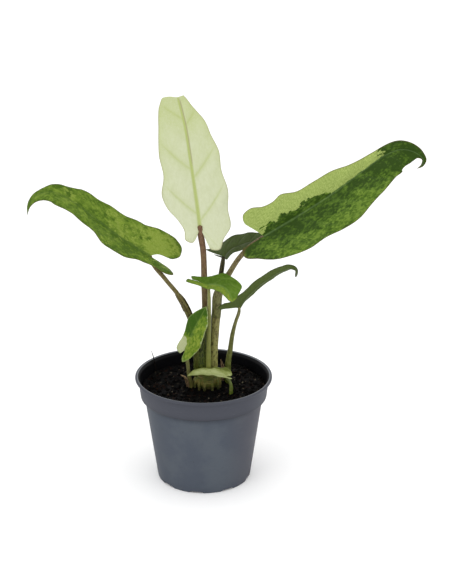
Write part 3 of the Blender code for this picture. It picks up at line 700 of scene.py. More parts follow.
# Leaf stalk: smooth round skin, IOR about 1.42, brown to olive, flecked with short darker
# dashes along its length. Each line is (x, y, z, radius) from the blade down; top and foot
# are the shades at the two ends, fleck the dashes' shade.
stalkLooks = {
    "centre": dict(
        path=[(-2.6, 7.9, 229.0, 2.2), (-2.3, 8.6, 225, 2.6), (0, 9.0, 207.5, 2.6),
              (1, 7.5, 176, 2.7), (1.5, 6.8, 158, 2.8), (1.2, 6.3, 135, 3.1),
              (0.4, 5, 116, 3.9), (0.2, 5, 101, 4.6), (0.6, 5, 94, 4.4)],
        top="#6c503d", foot="#424c1c", fleck="#472c1c", share=0.45, slot="brown_stalk"),
    "left": dict(
        path=[(-44.6, 0.7, 204.6, 1.4), (-43.5, 1.6, 199.5, 1.7), (-32.5, 1, 184, 1.9),
              (-20.5, 1, 168, 1.95), (-16.5, 1, 161, 2.1), (-11.5, 1, 149.5, 2.2),
              (-7.5, 0.6, 135, 2.8), (-5.6, 0.5, 118, 3.3), (-5.0, 0.5, 101, 3.7),
              (-4.6, 0.5, 94, 3.6)],
        top="#6a5d3a", foot="#394609", fleck="#342106", share=0.5, slot="mottled_stalk"),
    "right": dict(
        path=[(51.8, 3.2, 221.6, 1.4), (48.5, 4.3, 218.6, 1.8), (42, 5, 213.5, 2.0),
              (32, 5, 203, 2.2), (21.5, 5.5, 186, 2.5), (15.7, 5.5, 176, 3.0),
              (12.4, 5.5, 167, 3.8), (11.6, 5, 156, 3.95), (10.4, 4.5, 137.5, 3.6),
              (9.0, 4, 119, 3.6), (8.4, 4, 101, 4.1), (8.2, 4, 94, 4.0)],
        top="#61523c", foot="#88894b", fleck="#3c3418", share=0.75, slot="mottled_stalk"),
    "front": dict(
        path=[(5.2, -9.5, 182.6, 0.9), (5.1, -8.8, 180, 1.1), (5.2, -7.5, 168, 1.5),
              (5, -5.4, 144, 1.8), (4.4, -4.8, 120.5, 2.1), (4.4, -4.8, 101, 2.4),
              (4.4, -4.8, 94, 2.3)],
        top="#80824c", foot="#686e2e", fleck="#4f5b27", share=0.35, slot="pale_stalk"),
    "rear": dict(
        path=[(17.4, 13.7, 199.3, 1.5), (17, 13.2, 196, 1.9), (15.5, 13.5, 185.5, 2.2),
              (13.2, 13.4, 169.5, 2.4), (9, 12.4, 142, 2.8), (5.5, 11.4, 113.5, 3.6),
              (4.4, 11, 101, 4.2), (4.4, 11, 94, 4.1)],
        top="#312e15", foot="#313c0f", fleck="#131106", share=0.5, slot="dark_stalk"),
    "low": dict(
        path=[(-15.3, -9.3, 122.8, 0.9), (-15, -7.8, 120.5, 1.2), (-14, -6.5, 112, 1.45),
              (-13, -4.5, 100, 1.65), (-12, -3, 91, 2.0), (-11.5, -2, 86, 2.8),
              (-11.4, -2, 81, 2.6)],
        top="#75794e", foot="#605b2e", fleck="#4c4f25", share=0.4, slot="pale_stalk"),
    "cream": dict(
        path=[(19.4, -14.1, 99.2, 0.7), (20.8, -14.6, 97.6, 1.0), (22.8, -15.2, 95, 1.3),
              (24, -16, 90.5, 1.6), (24, -16.5, 85.2, 1.7), (24, -16.5, 81, 1.7)],
        top="#66723c", foot="#4f5e1d", fleck="#404c15", share=0.3, slot="pale_stalk"),
    "side": dict(
        path=[(31.1, 5.7, 156.3, 1.1), (31, 5, 153.4, 1.4), (28.2, 6.5, 143, 1.55),
              (25.2, 8, 129.5, 1.9), (23.5, 9, 116.5, 2.2), (21.5, 9, 103, 2.6),
              (21, 9, 90, 3.0), (21, 9, 81, 3.0)],
        top="#6f6c44", foot="#4d5a1c", fleck="#373711", share=0.45, slot="mottled_stalk"),
}


def stalkSkin(name, look, low, high):
    # the shade goes from foot to top with height; dashes come from noise stretched about
    # twice along Z; thin fibres run the whole way
    skin, tree, shader = newSkin("smoothStalk_" + name, 0.4, 1.42, 0.22)
    place = objectPlace(tree)
    height = addNode(tree, "ShaderNodeSeparateXYZ", None, {0: place}).outputs[2]
    share = addNode(tree, "ShaderNodeMapRange", {1: low * mm, 2: high * mm}, {0: height}).outputs[0]
    colour = blendColour(tree, share, look["foot"], look["top"])
    wide = stretched(tree, place, (1000.0, 1000.0, 520.0))
    dash = noiseOf(tree, wide, 0.62, 5.0, 0.66, 0.4)
    colour = tint(tree, colour, dash, 0.5, 0.58, look["fleck"], look["share"])
    colour = tint(tree, colour, dash, 0.46, 0.34, "#7f7a48", 0.5)
    fibre = stretched(tree, place, (2600.0, 2600.0, 60.0))
    thin = noiseOf(tree, fibre, 0.7, 2.0)
    tree.links.new(colour, shader.inputs["Base Color"])
    addBump(tree, shader, thin, 0.4, 0.00012)
    return skin


def tubeGrid(path, count, sides, swell=None):
    # a ring of points round each place on the path, radius from the path's fourth number;
    # swell(u, angle) scales the radius; both ends close in a small dome
    line = smoothPath(path, count)
    centre, radius = line[:, :3], line[:, 3]
    along = unit(np.gradient(centre, axis=0))
    side = unit(np.cross(along, np.array([0.0, -1.0, 0.0])))
    other = np.cross(along, side)
    dome = np.sin(np.linspace(0, 1, 5)[:-1] * np.pi / 2)
    centre = np.concatenate([centre[:1] - along[:1] * radius[0] * 0.5 * (1 - dome)[:, None],
                             centre, centre[-1:] + along[-1:] * radius[-1] * 0.5
                             * (1 - dome[::-1])[:, None]])
    radius = np.r_[radius[0] * dome, radius, radius[-1] * dome[::-1]]
    side = np.concatenate([side[:1].repeat(4, 0), side, side[-1:].repeat(4, 0)])
    other = np.concatenate([other[:1].repeat(4, 0), other, other[-1:].repeat(4, 0)])
    angle = circle(sides)
    u = np.linspace(0, 1, len(radius))[:, None]
    scale = radius[:, None] * (swell(u, angle[None]) if swell else np.ones((1, sides)))
    points = (centre[:, None] + side[:, None] * (np.cos(angle) * scale)[..., None]
              + other[:, None] * (np.sin(angle) * scale)[..., None])
    return points.reshape(-1, 3), gridFaces(len(radius), sides, wrap=True)


def stalkSwell(u, angle):
    # faint ribs down the stalk and slow unevenness along it
    return (1 + 0.018 * np.sin(9 * angle + 3 * u)
            + 0.03 * softNoise(u * 60, angle * 2, 6, 81, 2))


for stalkName, look in stalkLooks.items():
    points, faces = tubeGrid(look["path"], 150, 28, swell=stalkSwell)
    low, high = boxMm(stalkName + "_leaf_stalk")
    putMesh(stalkName + "LeafStalk", points, faces, stalkSkin(stalkName, look, low[2], high[2]),
            node=stalkName + "_leaf_stalk")
print("stalks done")

# A stalk's lower part is wrapped by its own sheath, which ends in a short free tongue.
# tip and end are places on the stalk (0 at the blade, 1 at the foot), grow is how far it
# stands off, turn and open are the seam's bearing and width in radians.
sheathShapes = {
    "leftSheath": dict(stalk="left", tip=0.335, end=0.66, grow=0.95, turn=0.9, open=1.5,
                       top="#4f4423", foot="#48501a"),
    "rightSheath": dict(stalk="right", tip=0.375, end=0.62, grow=0.3, turn=-0.6, open=1.2,
                        top="#75724f", foot="#585c2e"),
}


def makeSheath(name, shape):
    # a curved sheet round the stalk: at angle a from the seam its upper edge climbs as
    # (1 - cos a) / 2, so it ends in a tongue; its wall is 0.35 mm thick
    look = stalkLooks[shape["stalk"]]
    line = smoothPath(look["path"], 400)
    run = runOf(line[:, :3])
    run = run / run[-1]
    angle = np.linspace(-np.pi + shape["open"] / 2, np.pi - shape["open"] / 2, 44)
    v = np.linspace(0, 1, 70)[:, None]
    start = shape["tip"] + 0.05 * (1 - np.cos(angle / 2) ** 1.2)[None] * 1.4
    at = start + v * (shape["end"] - start)
    centre = lineAt(at, run, line)
    radius = np.interp(at, run, line[:, 3])
    along = unit(lineAt(at + 0.01, run, line) - centre)
    side = unit(np.cross(along, np.array([0.0, -1.0, 0.0])))
    other = np.cross(along, side)
    a = angle[None] + shape["turn"]
    out = side * np.cos(a)[..., None] + other * np.sin(a)[..., None]
    stand = shape["grow"] * (1 - 0.75 * easeStep(v, 0.35, 1.0)) * easeStep(v, -0.1, 0.12)
    outer = centre + out * (radius + stand + 0.1)[..., None]
    inner = centre + out * (radius + stand - 0.3)[..., None]
    ring = np.concatenate([outer, inner[:, ::-1]], 1)
    skinLook = dict(look, top=shape["top"], foot=shape["foot"])
    low, high = ring[..., 2].min(), ring[..., 2].max()
    putMesh(name, ring.reshape(-1, 3), sheetFaces(*ring.shape[:2]),
            stalkSkin(name, skinLook, low, high))


for sheathName, shape in sheathShapes.items():
    makeSheath(sheathName, shape)

# the stalks' feet share one fleshy wrap, and the left sheath ends in a dark tongue
wrapLooks = {
    "stemWrap": dict(
        path=[(-1.8, 3.4, 141, 2.2), (-1.6, 2.8, 134, 4.3), (-1.4, 2.6, 118, 5.6),
              (-1, 2.6, 100, 6.4), (-0.6, 2.6, 91, 6.6)],
        top="#3f4a18", foot="#4c581e", fleck="#1c220a", share=0.8, slot="mottled_stalk"),
    "leftTongue": dict(
        path=[(-15.8, 0.6, 155, 1.6), (-17.9, 0.2, 161.5, 1.8), (-19.6, 0, 166.5, 0.3)],
        top="#3c3220", foot="#4a4424", fleck="#241c0e", share=0.5, slot="mottled_stalk"),
}
for wrapName, look in wrapLooks.items():
    points, faces = tubeGrid(look["path"], 70, 30, swell=stalkSwell)
    low, high = points[:, 2].min(), points[:, 2].max()
    putMesh(wrapName, points, faces, stalkSkin(wrapName, look, low, high))
print("sheaths done")

# ---- nursery pot ----

# Thin-walled grey polypropylene, injection moulded: satin skin with a fine grain, IOR 1.49.
potShape = dict(
    profile=[(0, 0), (29.5, 0), (31, 1.6), (38, 1.6), (39, 0), (41.3, 0), (52, 76),
             (55.3, 76), (57.2, 92.8), (60, 92.8), (60, 95), (57.6, 95), (55.9, 92.6),
             (54.2, 77.4), (50.9, 77), (40.7, 4.2), (39, 3), (30.4, 3), (28.8, 1.4),
             (0, 1.4)],
    rounding=[0, 0.6, 0.5, 0.5, 0.5, 0.9, 1.6, 1.3, 0.7, 0.8, 0.9, 0.9, 0.6, 0.9, 0.9, 1.2,
              0.6, 0.6, 0.5, 0],
    foot=41.3, shoulder=76.0, taper=10.7, sides=216, notches=9, notchAt=-49.0, notchWide=11.0,
    notchHigh=1.6, drainRing=34.5, drainRadius=3.0, drainSides=24)


def roundedLine(points, radii, steps=5):
    # every corner becomes a quadratic arc (1-t)^2 a + 2t(1-t) corner + t^2 b whose ends
    # lie on the two sides, the given distance from the corner
    p = np.asarray(points, float)
    out = [p[:1]]
    for k in range(1, len(p) - 1):
        legs = [(p[j] - p[k]) / np.linalg.norm(p[j] - p[k]) for j in (k - 1, k + 1)]
        reach = min(radii[k], 0.45 * min(np.linalg.norm(p[j] - p[k]) for j in (k - 1, k + 1)))
        a, b = p[k] + legs[0] * reach, p[k] + legs[1] * reach
        t = np.linspace(0, 1, steps)[:, None]
        out.append((1 - t) ** 2 * a + 2 * t * (1 - t) * p[k] + t * t * b)
    out.append(p[-1:])
    return np.concatenate(out)


def denseLine(line, longest):
    # extra points so that no step is longer than the given length
    parts = [np.linspace(a, b, max(2, int(np.ceil(np.linalg.norm(b - a) / longest)) + 1))[:-1]
             for a, b in zip(line, line[1:])]
    return np.concatenate(parts + [line[-1:]])


def turnedGrid(line, sides):
    # point (r, z) of the line at angle a goes to (r cos a, r sin a, z)
    points = roundPoints(line[:, :1], circle(sides), line[:, 1:])
    return points.reshape(-1, 3), gridFaces(len(line), sides, wrap=True)


def cutHoles(piece, cutter):
    # subtract the cutter's solids from the piece for good, then drop the cutter
    cut = piece.modifiers.new("cut", "BOOLEAN")
    cut.operation = "DIFFERENCE"
    cut.solver = "EXACT"
    cut.object = cutter
    cut.use_self = True
    graph = bpy.context.evaluated_depsgraph_get()
    done = bpy.data.meshes.new_from_object(piece.evaluated_get(graph))
    piece.modifiers.clear()
    old, piece.data = piece.data, done
    bpy.data.meshes.remove(old)
    cutterMesh = cutter.data
    bpy.data.objects.remove(cutter)
    bpy.data.meshes.remove(cutterMesh)


def potSkin():
    # cool grey, a little warmer to the right as a painted warm reflection and darker to the left and
    # on the band as painted shade, nearly black inside as painted shade; a dark painted shadow line
    # in the step under the band, a pale painted highlight along the lip, fine scratches round the
    # wall and specks of dust. The pot's attribute of painted light holds the shares of inner wall,
    # step and lip.
    skin, tree, shader = newSkin("mouldedPolypropylene", 0.5, 1.49, 0.1)
    place = objectPlace(tree)
    part = addNode(tree, "ShaderNodeSeparateXYZ", None, {0: place})
    # the shares of painted light: shade on the inner wall, shadow in the step, highlight on the lip
    inside = addNode(tree, "ShaderNodeAttribute", {"attribute_name": "potPaintedLight"}).outputs["Vector"]
    inner = addNode(tree, "ShaderNodeSeparateXYZ", None, {0: inside})
    smear = noiseOf(tree, place, 30.0, 4.0, 0.55)
    colour = tint(tree, "#474d57", smear, 0.42, 0.62, "#4e545c")
    # painted light: a painted warm reflection over the right side
    colour = tint(tree, colour, part.outputs[0], 0.012, 0.05, "#47464d", 0.8)
    # painted shade: the left side darker
    colour = tint(tree, colour, part.outputs[0], -0.022, -0.048, "#393e46", 0.4)
    # painted shade: the band above the shoulder darker, as it lies under the lip
    colour = tint(tree, colour, part.outputs[2], 0.0755, 0.0765, "#44464e")
    # painted shadow: a dark line in the step's lower corner under the band
    step = mathOf(tree, "MULTIPLY", inner.outputs[1], 0.85)
    colour = blendColour(tree, step, colour, "#1b1d21")
    around = stretched(tree, place, (60.0, 60.0, 900.0))
    scratch = noiseOf(tree, around, 1.2, 5.0, 0.7)
    colour = tint(tree, colour, scratch, 0.6, 0.72, "#61666b", 0.3)
    dust = noiseOf(tree, place, 900.0, 3.0)
    colour = tint(tree, colour, dust, 0.62, 0.75, "#383631", 0.35)
    # painted highlight: a pale line along the lip's crest
    colour = blendColour(tree, inner.outputs[2], colour, "#7a7d80")
    # painted shade: the inner wall nearly black
    colour = blendColour(tree, inner.outputs[0], colour, "#040406")
    tree.links.new(colour, shader.inputs["Base Color"])
    addRough(tree, shader, smear, 0.3, 0.75, 0.44, 0.6)
    grain = noiseOf(tree, place, 1600.0, 2.0)
    addBump(tree, shader, grain, 0.25, 0.00008)
    return skin


def makePot():
    # the standing ring has nine low notches: below z 1.6, where the angle is within half
    # a notch of its middle, the foot is lifted by an eased step
    line = denseLine(roundedLine(potShape["profile"], potShape["rounding"]), 4.0)
    points, faces = turnedGrid(line, potShape["sides"])
    radius = np.hypot(points[:, 0], points[:, 1])
    angle = np.degrees(np.arctan2(points[:, 0], -points[:, 1]))
    gap = 360.0 / potShape["notches"]
    off = np.abs((angle - potShape["notchAt"] + gap / 2) % gap - gap / 2)
    half = np.degrees(potShape["notchWide"] / 2 / potShape["foot"])
    lift = (1 - easeStep(off, half - 0.8, half + 0.8)) * potShape["notchHigh"]
    foot = (radius > 38.2) & (points[:, 2] < lift)
    points[:, 2] = np.where(foot, lift, points[:, 2])
    # painted light: x shade on the inner wall, y shadow in the step's lower corner, z highlight on
    # the lip's crest
    z = points[:, 2]
    climb = np.clip(z, 0, potShape["shoulder"]) / potShape["shoulder"]
    wall = potShape["foot"] + potShape["taper"] * climb
    inner = np.where(z < 76.5, radius < wall - 0.9, radius < np.interp(
        z, (76.5, 77.5, 92.6, 94.0, 96), (53.2, 54.6, 56.3, 57.4, 57.7)))
    corner = np.exp(-((z - 75.8) / 1.1) ** 2) * (radius < 56.5) * (radius > wall - 0.5)
    crest = np.exp(-(np.hypot(radius - 57.9, z - 94.9) / 0.55) ** 2)
    face = np.stack([inner * 1.0, corner, 0.8 * crest * (1 - inner)], -1)
    piece = putMesh("nurseryPot", points, faces, potSkin(), node="nursery_pot",
                    marks={"potPaintedLight": face}, sharp=50)
    # one upright cutter for each drainage hole
    count = potShape["drainSides"]
    a = circle(count)
    ends = np.stack([np.cos(a), np.sin(a)], 1) * potShape["drainRadius"]
    verts, sheets = [], []
    for k in range(potShape["notches"]):
        turn = np.radians(potShape["notchAt"] + gap * k)
        mid = potShape["drainRing"] * np.array([np.sin(turn), -np.cos(turn)])
        first = 2 * count * k
        verts += [np.c_[ends + mid, np.full(count, z)] for z in (-3.0, 7.0)]
        sheets += gridFaces(2, count, wrap=True, first=first).tolist()
        sheets += [list(range(first, first + count))[::-1],
                   list(range(first + count, first + 2 * count))]
    mesh = bpy.data.meshes.new("drainCutter")
    mesh.from_pydata((np.concatenate(verts) * mm).tolist(), [], sheets)
    cutHoles(piece, linkNew("drainCutter", mesh))
    piece.data.set_sharp_from_angle(angle=math.radians(50))


makePot()
print("pot done")

# ---- potting soil ----

# Moist peat and bark fines: almost black, matt, with damp glints, tan fibres and crumbs.
soilShape = dict(top=84.0, radius=53.9, rows=90, sides=220)
plantFoot = (3.0, 2.0)          # the plant's middle on the soil


def soilTop(x, y):
    # slow swell outside the plant's foot plus clods of 1 to 9 mm
    r = np.hypot(x - plantFoot[0], y - plantFoot[1])
    calm = easeStep(r, 14, 24) * (1 - easeStep(np.hypot(x, y), 50, 54))
    swell = 0.035 * x + 0.02 * y + 0.5 * np.sin(x / 9 + 1) * np.sin(y / 11 + 2)
    clods = 1.0 * softNoise(x, y, 9, 91, 2) + 0.55 * np.abs(softNoise(x, y, 3.2, 92, 2)) \
        + 0.22 * softNoise(x, y, 1.1, 93, 2)
    return soilShape["top"] + swell * calm + clods * (0.35 + 0.65 * calm) * 1.1 - 0.2


def soilSkin():
    skin, tree, shader = newSkin("moistPeat", 0.95, 1.45, 0.06)
    place = objectPlace(tree)
    clod = noiseOf(tree, place, 260.0, 5.0, 0.65)
    grit = addNode(tree, "ShaderNodeTexVoronoi", {"Scale": 620.0}, {"Vector": place})
    colour = tint(tree, "#030303", clod, 0.4, 0.62, "#070605")
    tone = addNode(tree, "ShaderNodeSeparateColor", None, {0: grit.outputs["Color"]})
    colour = tint(tree, colour, tone.outputs[0], 0.9, 0.93, "#1a0b06")
    colour = tint(tree, colour, tone.outputs[1], 0.965, 0.975, "#3c352a")
    tree.links.new(colour, shader.inputs["Base Color"])
    addRough(tree, shader, clod, 0.35, 0.65, 0.95, 0.62)
    addBump(tree, shader, grit.outputs["Distance"], 0.8, 0.0005)
    return skin


def makeSoil():
    # rings closer together at the outside; the skirt follows the pot's inner wall down
    ring = soilShape["radius"] * np.linspace(0.004, 1, soilShape["rows"]) ** 0.85
    a = circle(soilShape["sides"])
    x, y = ring[:, None] * np.cos(a), ring[:, None] * np.sin(a)
    skirt = np.array([(53.75, 81.5), (53.4, 78.3), (50.2, 77.6), (47.5, 60.0), (44.0, 34.0),
                      (40.4, 8.0), (38.8, 4.2), (0.2, 4.0)])
    grid = np.concatenate([np.stack([x, y, soilTop(x, y)], -1),
                           roundPoints(skirt[:, :1], a, skirt[:, 1:])])
    faces = gridFaces(len(grid), len(a), wrap=True)
    putMesh("pottingSoil", grid.reshape(-1, 3), faces, soilSkin(),
            node="potting_soil", weld=0.5)


def lumpBatch(name, places, sizes, turns, skin, flat, seed):
    # copies of a small ball (8 by 5 faces) pushed in and out at random, each turned about
    # Z and then tipped; every ball is closed
    rng = np.random.default_rng(seed)
    push = 0.35                 # how far a point moves, as a share of the radius
    u = np.linspace(0, np.pi, 6)[1:-1]
    rows, sides = len(u), 8
    body = roundPoints(np.sin(u)[:, None], circle(sides), np.cos(u)[:, None]).reshape(-1, 3)
    body = np.concatenate([body, [[0, 0, 1], [0, 0, -1]]])
    j = np.arange(sides)
    base = (rows - 1) * sides
    quads = gridFaces(rows, sides, wrap=True)
    caps = np.concatenate([
        np.stack([np.full(sides, rows * sides), (j + 1) % sides, j], 1),
        np.stack([np.full(sides, rows * sides + 1), base + j, base + (j + 1) % sides], 1)])
    n, count = len(places), len(body)
    shape = body[None] * (1 + push * rng.uniform(-1, 1, (n, count, 1))) * np.array(flat)
    shape = shape * np.asarray(sizes)[:, None, None]
    ca, sa = np.cos(turns[:, 0])[:, None], np.sin(turns[:, 0])[:, None]
    cb, sb = np.cos(turns[:, 1])[:, None], np.sin(turns[:, 1])[:, None]
    x, y, z = shape[..., 0], shape[..., 1], shape[..., 2]
    x, z = x * cb + z * sb, z * cb - x * sb
    x, y = x * ca - y * sa, x * sa + y * ca
    points = (np.stack([x, y, z], -1) + np.asarray(places)[:, None]).reshape(-1, 3)
    first = count * np.arange(n)[:, None, None]
    faces = (quads[None] + first).reshape(-1, 4).tolist()
    faces += (caps[None] + first).reshape(-1, 3).tolist()
    mesh = bpy.data.meshes.new(name)
    mesh.from_pydata((points * mm).tolist(), [], faces)
    mesh.shade_smooth()
    placePiece(name, mesh, skin)


makeSoil()


def fibrousSkin(name, look, noise, steps, scale, codes, strength):
    # two shades mixed by one noise, which also roughens the surface; look is (roughness,
    # specular), noise is its own three numbers and scale stretches it
    skin, tree, shader = newSkin(name, look[0], 1.45, look[1])
    place = objectPlace(tree)
    if scale:
        place = stretched(tree, place, scale)
    fibre = noiseOf(tree, place, *noise)
    tree.links.new(tint(tree, codes[0], fibre, *steps, codes[1]), shader.inputs["Base Color"])
    addBump(tree, shader, fibre, strength, 0.0003)
    return skin


def chipSkin(name, code, other):
    # broken bark and peat: dull, with lighter fibres
    return fibrousSkin(name, (0.9, 0.06), (700.0, 4.0, 0.6), (0.4, 0.65), None, (code, other), 0.6)


def scatterOnSoil(count, inner, outer, seed):
    # even by area between two radii round the pot's middle, none inside the plant's foot
    rng = np.random.default_rng(seed)
    r = np.sqrt(rng.uniform(inner ** 2, outer ** 2, count * 2))
    a = rng.uniform(0, 2 * np.pi, count * 2)
    x, y = r * np.cos(a), r * np.sin(a)
    free = np.hypot(x - plantFoot[0], y - plantFoot[1]) > 13.5
    x, y = x[free][:count], y[free][:count]
    return np.stack([x, y, soilTop(x, y)], 1), rng


# size is (least, spread, power of the draw); tip is how far a lump leans, None for any way
scatterLooks = {
    "peatCrumbs": dict(count=900, ring=(2, 52.0), seeds=(101, 5), size=(0.45, 1.15, 2.2), tip=None,
                       flat=(1.0, 1.0, 1.0), skin=("peatCrumb", "#030303", "#080605")),
    "barkChips": dict(count=30, ring=(15, 51.0), seeds=(202, 6), size=(1.0, 1.3, 1), tip=0.4,
                      flat=(1.5, 0.7, 0.35), skin=("brokenBark", "#060606", "#27160b")),
    "paleGrit": dict(count=20, ring=(15, 50.0), seeds=(303, 7), size=(0.4, 0.5, 1), tip=None,
                     flat=(1.2, 0.9, 0.6), skin=("paleGrit", "#2e2920", "#686150")),
}
for lumpName, look in scatterLooks.items():
    places, rng = scatterOnSoil(look["count"], *look["ring"], look["seeds"][0])
    least, spread, power = look["size"]
    sizes = least + spread * rng.random(len(places)) ** power
    if look["tip"] is None:
        turns = rng.uniform(0, 6.28, (len(places), 2))
    else:
        turns = np.stack([rng.uniform(0, 6.28, len(places)),
                          rng.uniform(-look["tip"], look["tip"], len(places))], 1)
    lumpBatch(lumpName, places, sizes, turns, chipSkin(*look["skin"]), look["flat"],
              look["seeds"][1])
print("soil done")

# ---- rootstock ----

# Swollen living stem base: knobbly olive-brown skin with ring scars, finger-thick roots.
rootShape = dict(low=84.5, high=97.0, crest=97.9, roots=13)


def rootSkin():
    skin, tree, shader = newSkin("corkyRootstock", 0.6, 1.45, 0.35)
    place = objectPlace(tree)
    patch = noiseOf(tree, place, 240.0, 5.0, 0.6)
    colour = tint(tree, "#56601c", patch, 0.42, 0.6, "#70682e")
    ringAt = stretched(tree, place, (120.0, 120.0, 1500.0))
    ring = noiseOf(tree, ringAt, 0.8, 3.0)
    colour = tint(tree, colour, ring, 0.55, 0.72, "#1d2006")
    height = addNode(tree, "ShaderNodeSeparateXYZ", None, {0: place}).outputs[2]
    colour = tint(tree, colour, height, 0.0905, 0.0855, "#14130a", 0.7)
    speck = noiseOf(tree, place, 1300.0, 2.0)
    colour = tint(tree, colour, speck, 0.62, 0.72, "#7b7944")
    tree.links.new(colour, shader.inputs["Base Color"])
    addBump(tree, shader, ring, 0.7, 0.0003)
    return skin


def makeRootstock():
    # the drum's radius at height share h and angle a: 9.2 + a bulge of 1.9, five ring scars,
    # nine lobes that fade upwards and noise; its top closes in rings
    cx, cy = plantFoot
    h = np.linspace(0, 1, 46)[:, None]
    a = circle(120)
    z = rootShape["low"] + (rootShape["high"] - rootShape["low"]) * h
    waist = 9.2 + 1.9 * np.sin(np.pi * np.clip(h * 0.9 + 0.12, 0, 1)) ** 0.8
    scar = 0.28 * np.sin(2 * np.pi * h * 5 + 0.8 * np.sin(a * 2))
    lobes = 0.35 * np.sin(9 * a + 1.2) * (1 - h) + 0.7 * softNoise(a * 6, z, 3.2, 111, 2)
    lobes = lobes * np.minimum(1, np.abs(np.sin(a / 2)) * 4)
    r = waist + scar * 0.6 + lobes * 0.5
    side = roundPoints(r, a, z, cx, cy)
    close = np.linspace(1, 0.03, 16)[1:, None]
    rt = r[-1:] * close
    xt, yt = rt * np.cos(a), rt * np.sin(a)
    zt = rootShape["high"] + 0.5 * np.sqrt(1 - close ** 2) + 0.25 * softNoise(xt, yt, 2.5, 112)
    top = roundPoints(rt, a, np.minimum(zt, rootShape["crest"]), cx, cy)
    rb = r[:1] * np.array([0.6, 0.03])[:, None]
    base = roundPoints(rb, a, rootShape["low"], cx, cy)[::-1]
    grid = np.concatenate([base, side, top])
    skin = rootSkin()
    putMesh("rootstock", grid.reshape(-1, 3), gridFaces(len(grid), len(a), wrap=True), skin,
            node="rootstock", weld=0.35)
    # prop roots: thick fingers that bend outward and down into the soil
    rng = np.random.default_rng(12)
    for k in range(rootShape["roots"]):
        turn = 2 * np.pi * (k + 0.5 + rng.uniform(-0.25, 0.25)) / rootShape["roots"]
        out = np.array([np.cos(turn), np.sin(turn)])
        start = 91.5 + rng.uniform(-1.2, 1.8)
        path = [(cx + out[0] * away, cy + out[1] * away, height, radius)
                for away, height, radius in ((8.4, start, 1.7), (10.2, start - 1.2, 1.55),
                                             (11.3, start - 3.6, 1.35), (12.0, 83.0, 1.1))]
        points, faces = tubeGrid(path, 26, 16, swell=lambda u, w: 1 + 0.05 * np.sin(40 * u + w))
        putMesh("propRoot%d" % (k + 1), points, faces, skin)


makeRootstock()
print("rootstock done")

# ---- dry sheaths ----

# Papery dead leaf sheath: thin, matt, ribbed lengthwise, tan brown.
dryShapes = {
    "left": dict(path=[(-13.6, -4.8, 85, 1.2), (-14.6, -6.4, 91.5, 1.35), (-16.6, -7.8, 96.2, 1.0),
                       (-20.0, -8.6, 98.6, 0.25)], open=2.2, turn=0.6),
    "right": dict(path=[(17.4, 8.6, 85, 1.7), (17.2, 8.8, 95, 2.1), (15.0, 9.2, 105.5, 0.3)],
                  open=2.1, turn=1.4),
}


def makeDry(name, shape, skin):
    # an open curled sheet 0.35 mm thick round the path; the edges flare by 25 %
    count = 40
    line = smoothPath(shape["path"], count)
    centre, radius = line[:, :3], line[:, 3]
    along = unit(np.gradient(centre, axis=0))
    side = unit(np.cross(along, np.array([0.3, -1.0, 0.2])))
    other = np.cross(along, side)
    w = np.linspace(-np.pi + shape["open"] / 2, np.pi - shape["open"] / 2, 26)
    out = (side[:, None] * np.cos(w + shape["turn"])[None, :, None]
           + other[:, None] * np.sin(w + shape["turn"])[None, :, None])
    flare = radius[:, None] * (1 + 0.25 * (w / np.pi) ** 4
                               + 0.12 * softNoise(np.arange(count)[:, None] / 3, w * 2, 3, 121))
    outer = centre[:, None] + out * flare[..., None]
    inner = centre[:, None] + out * (flare - 0.35 * np.minimum(1, radius)[:, None])[..., None]
    ring = np.concatenate([outer, inner[:, ::-1]], 1)
    putMesh(name + "DrySheath", ring.reshape(-1, 3), sheetFaces(*ring.shape[:2]), skin,
            node="dry_sheath_" + name)


papery = fibrousSkin("papershellSheath", (0.8, 0.25), (0.8, 3.0), (0.4, 0.6),
                     (1500.0, 1500.0, 160.0), ("#66523c", "#97805f"), 0.7)
for dryName, shape in dryShapes.items():
    makeDry(dryName, shape, papery)
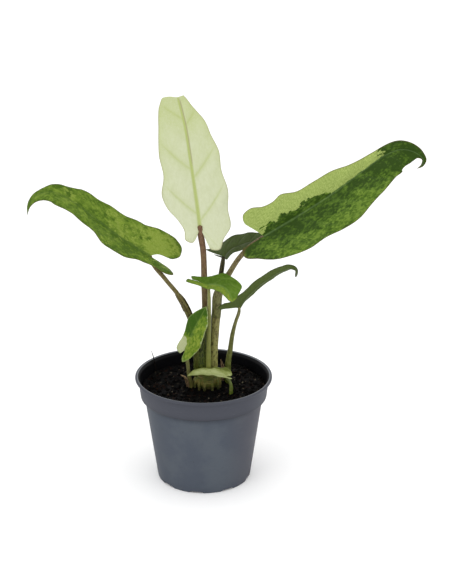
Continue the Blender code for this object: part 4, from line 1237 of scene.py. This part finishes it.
# one stiff fibre of peat leans over the rim at the back left
fibrePath = [(-42.5, 31, 83.5, 0.35), (-44.5, 32.4, 92, 0.4), (-46, 33.4, 99, 0.38),
             (-47.4, 33.6, 103.5, 0.2)]
points, faces = tubeGrid(fibrePath, 24, 8)
putMesh("peatFibre", points, faces, chipSkin("peatFibre", "#0a0806", "#1c1410"))
print("dry sheaths done")

# ---- studio ----

viewShape = dict(target=(19.6, 0.0, 172.4), away=1200.0, tilt=20.6, lens=86.3)


def addArea(name, place, aim, size, power):
    # a soft square lamp turned so its -Z looks at the aim
    data = bpy.data.lights.new(name, "AREA")
    data.shape = "SQUARE"
    data.size = size
    data.energy = power
    lamp = linkNew(name, data)
    lamp.location = place
    lamp.rotation_euler = (Vector(aim) - Vector(place)).to_track_quat("-Z", "Y").to_euler()


def makeStudio():
    scene = bpy.context.scene
    mesh = bpy.data.meshes.new("studioFloor")
    mesh.from_pydata([(-4, -4, 0), (4, -4, 0), (4, 4, 0), (-4, 4, 0)], [], [(0, 1, 2, 3)])
    skin, _, shader = newSkin("whiteCardFloor", 0.95, 1.45, 0.0)
    shader.inputs["Base Color"].default_value = hexLinear("#ffffff")
    mesh.materials.append(skin)
    floor = linkNew("studioFloor", mesh)
    floor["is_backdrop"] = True
    world = bpy.data.worlds.new("softStudio")
    world.use_nodes = True
    back = world.node_tree.nodes["Background"]
    back.inputs["Color"].default_value = hexLinear("#ffffff")
    back.inputs["Strength"].default_value = 1.2
    scene.world = world
    addArea("keyLamp", (-0.9, -1.0, 1.5), (0, 0, 0.18), 0.9, 4.0)
    addArea("fillLamp", (1.2, -0.8, 0.8), (0, 0, 0.18), 1.0, 1.2)
    scene.view_settings.view_transform = "Standard"
    view = bpy.data.cameras.new("frontCamera")
    view.lens = viewShape["lens"]
    view.sensor_width = 36.0
    view.sensor_fit = "AUTO"
    view.clip_start = 0.01
    view.clip_end = 20.0
    camera = linkNew("frontCamera", view)
    tilt = math.radians(viewShape["tilt"])
    x, y, z = viewShape["target"]
    away = viewShape["away"]
    camera.location = (x * mm, (y - away * math.cos(tilt)) * mm, (z + away * math.sin(tilt)) * mm)
    camera.rotation_euler = (math.pi / 2 - tilt, 0, 0)
    scene.camera = camera


makeStudio()
low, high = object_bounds()
print("studio done")
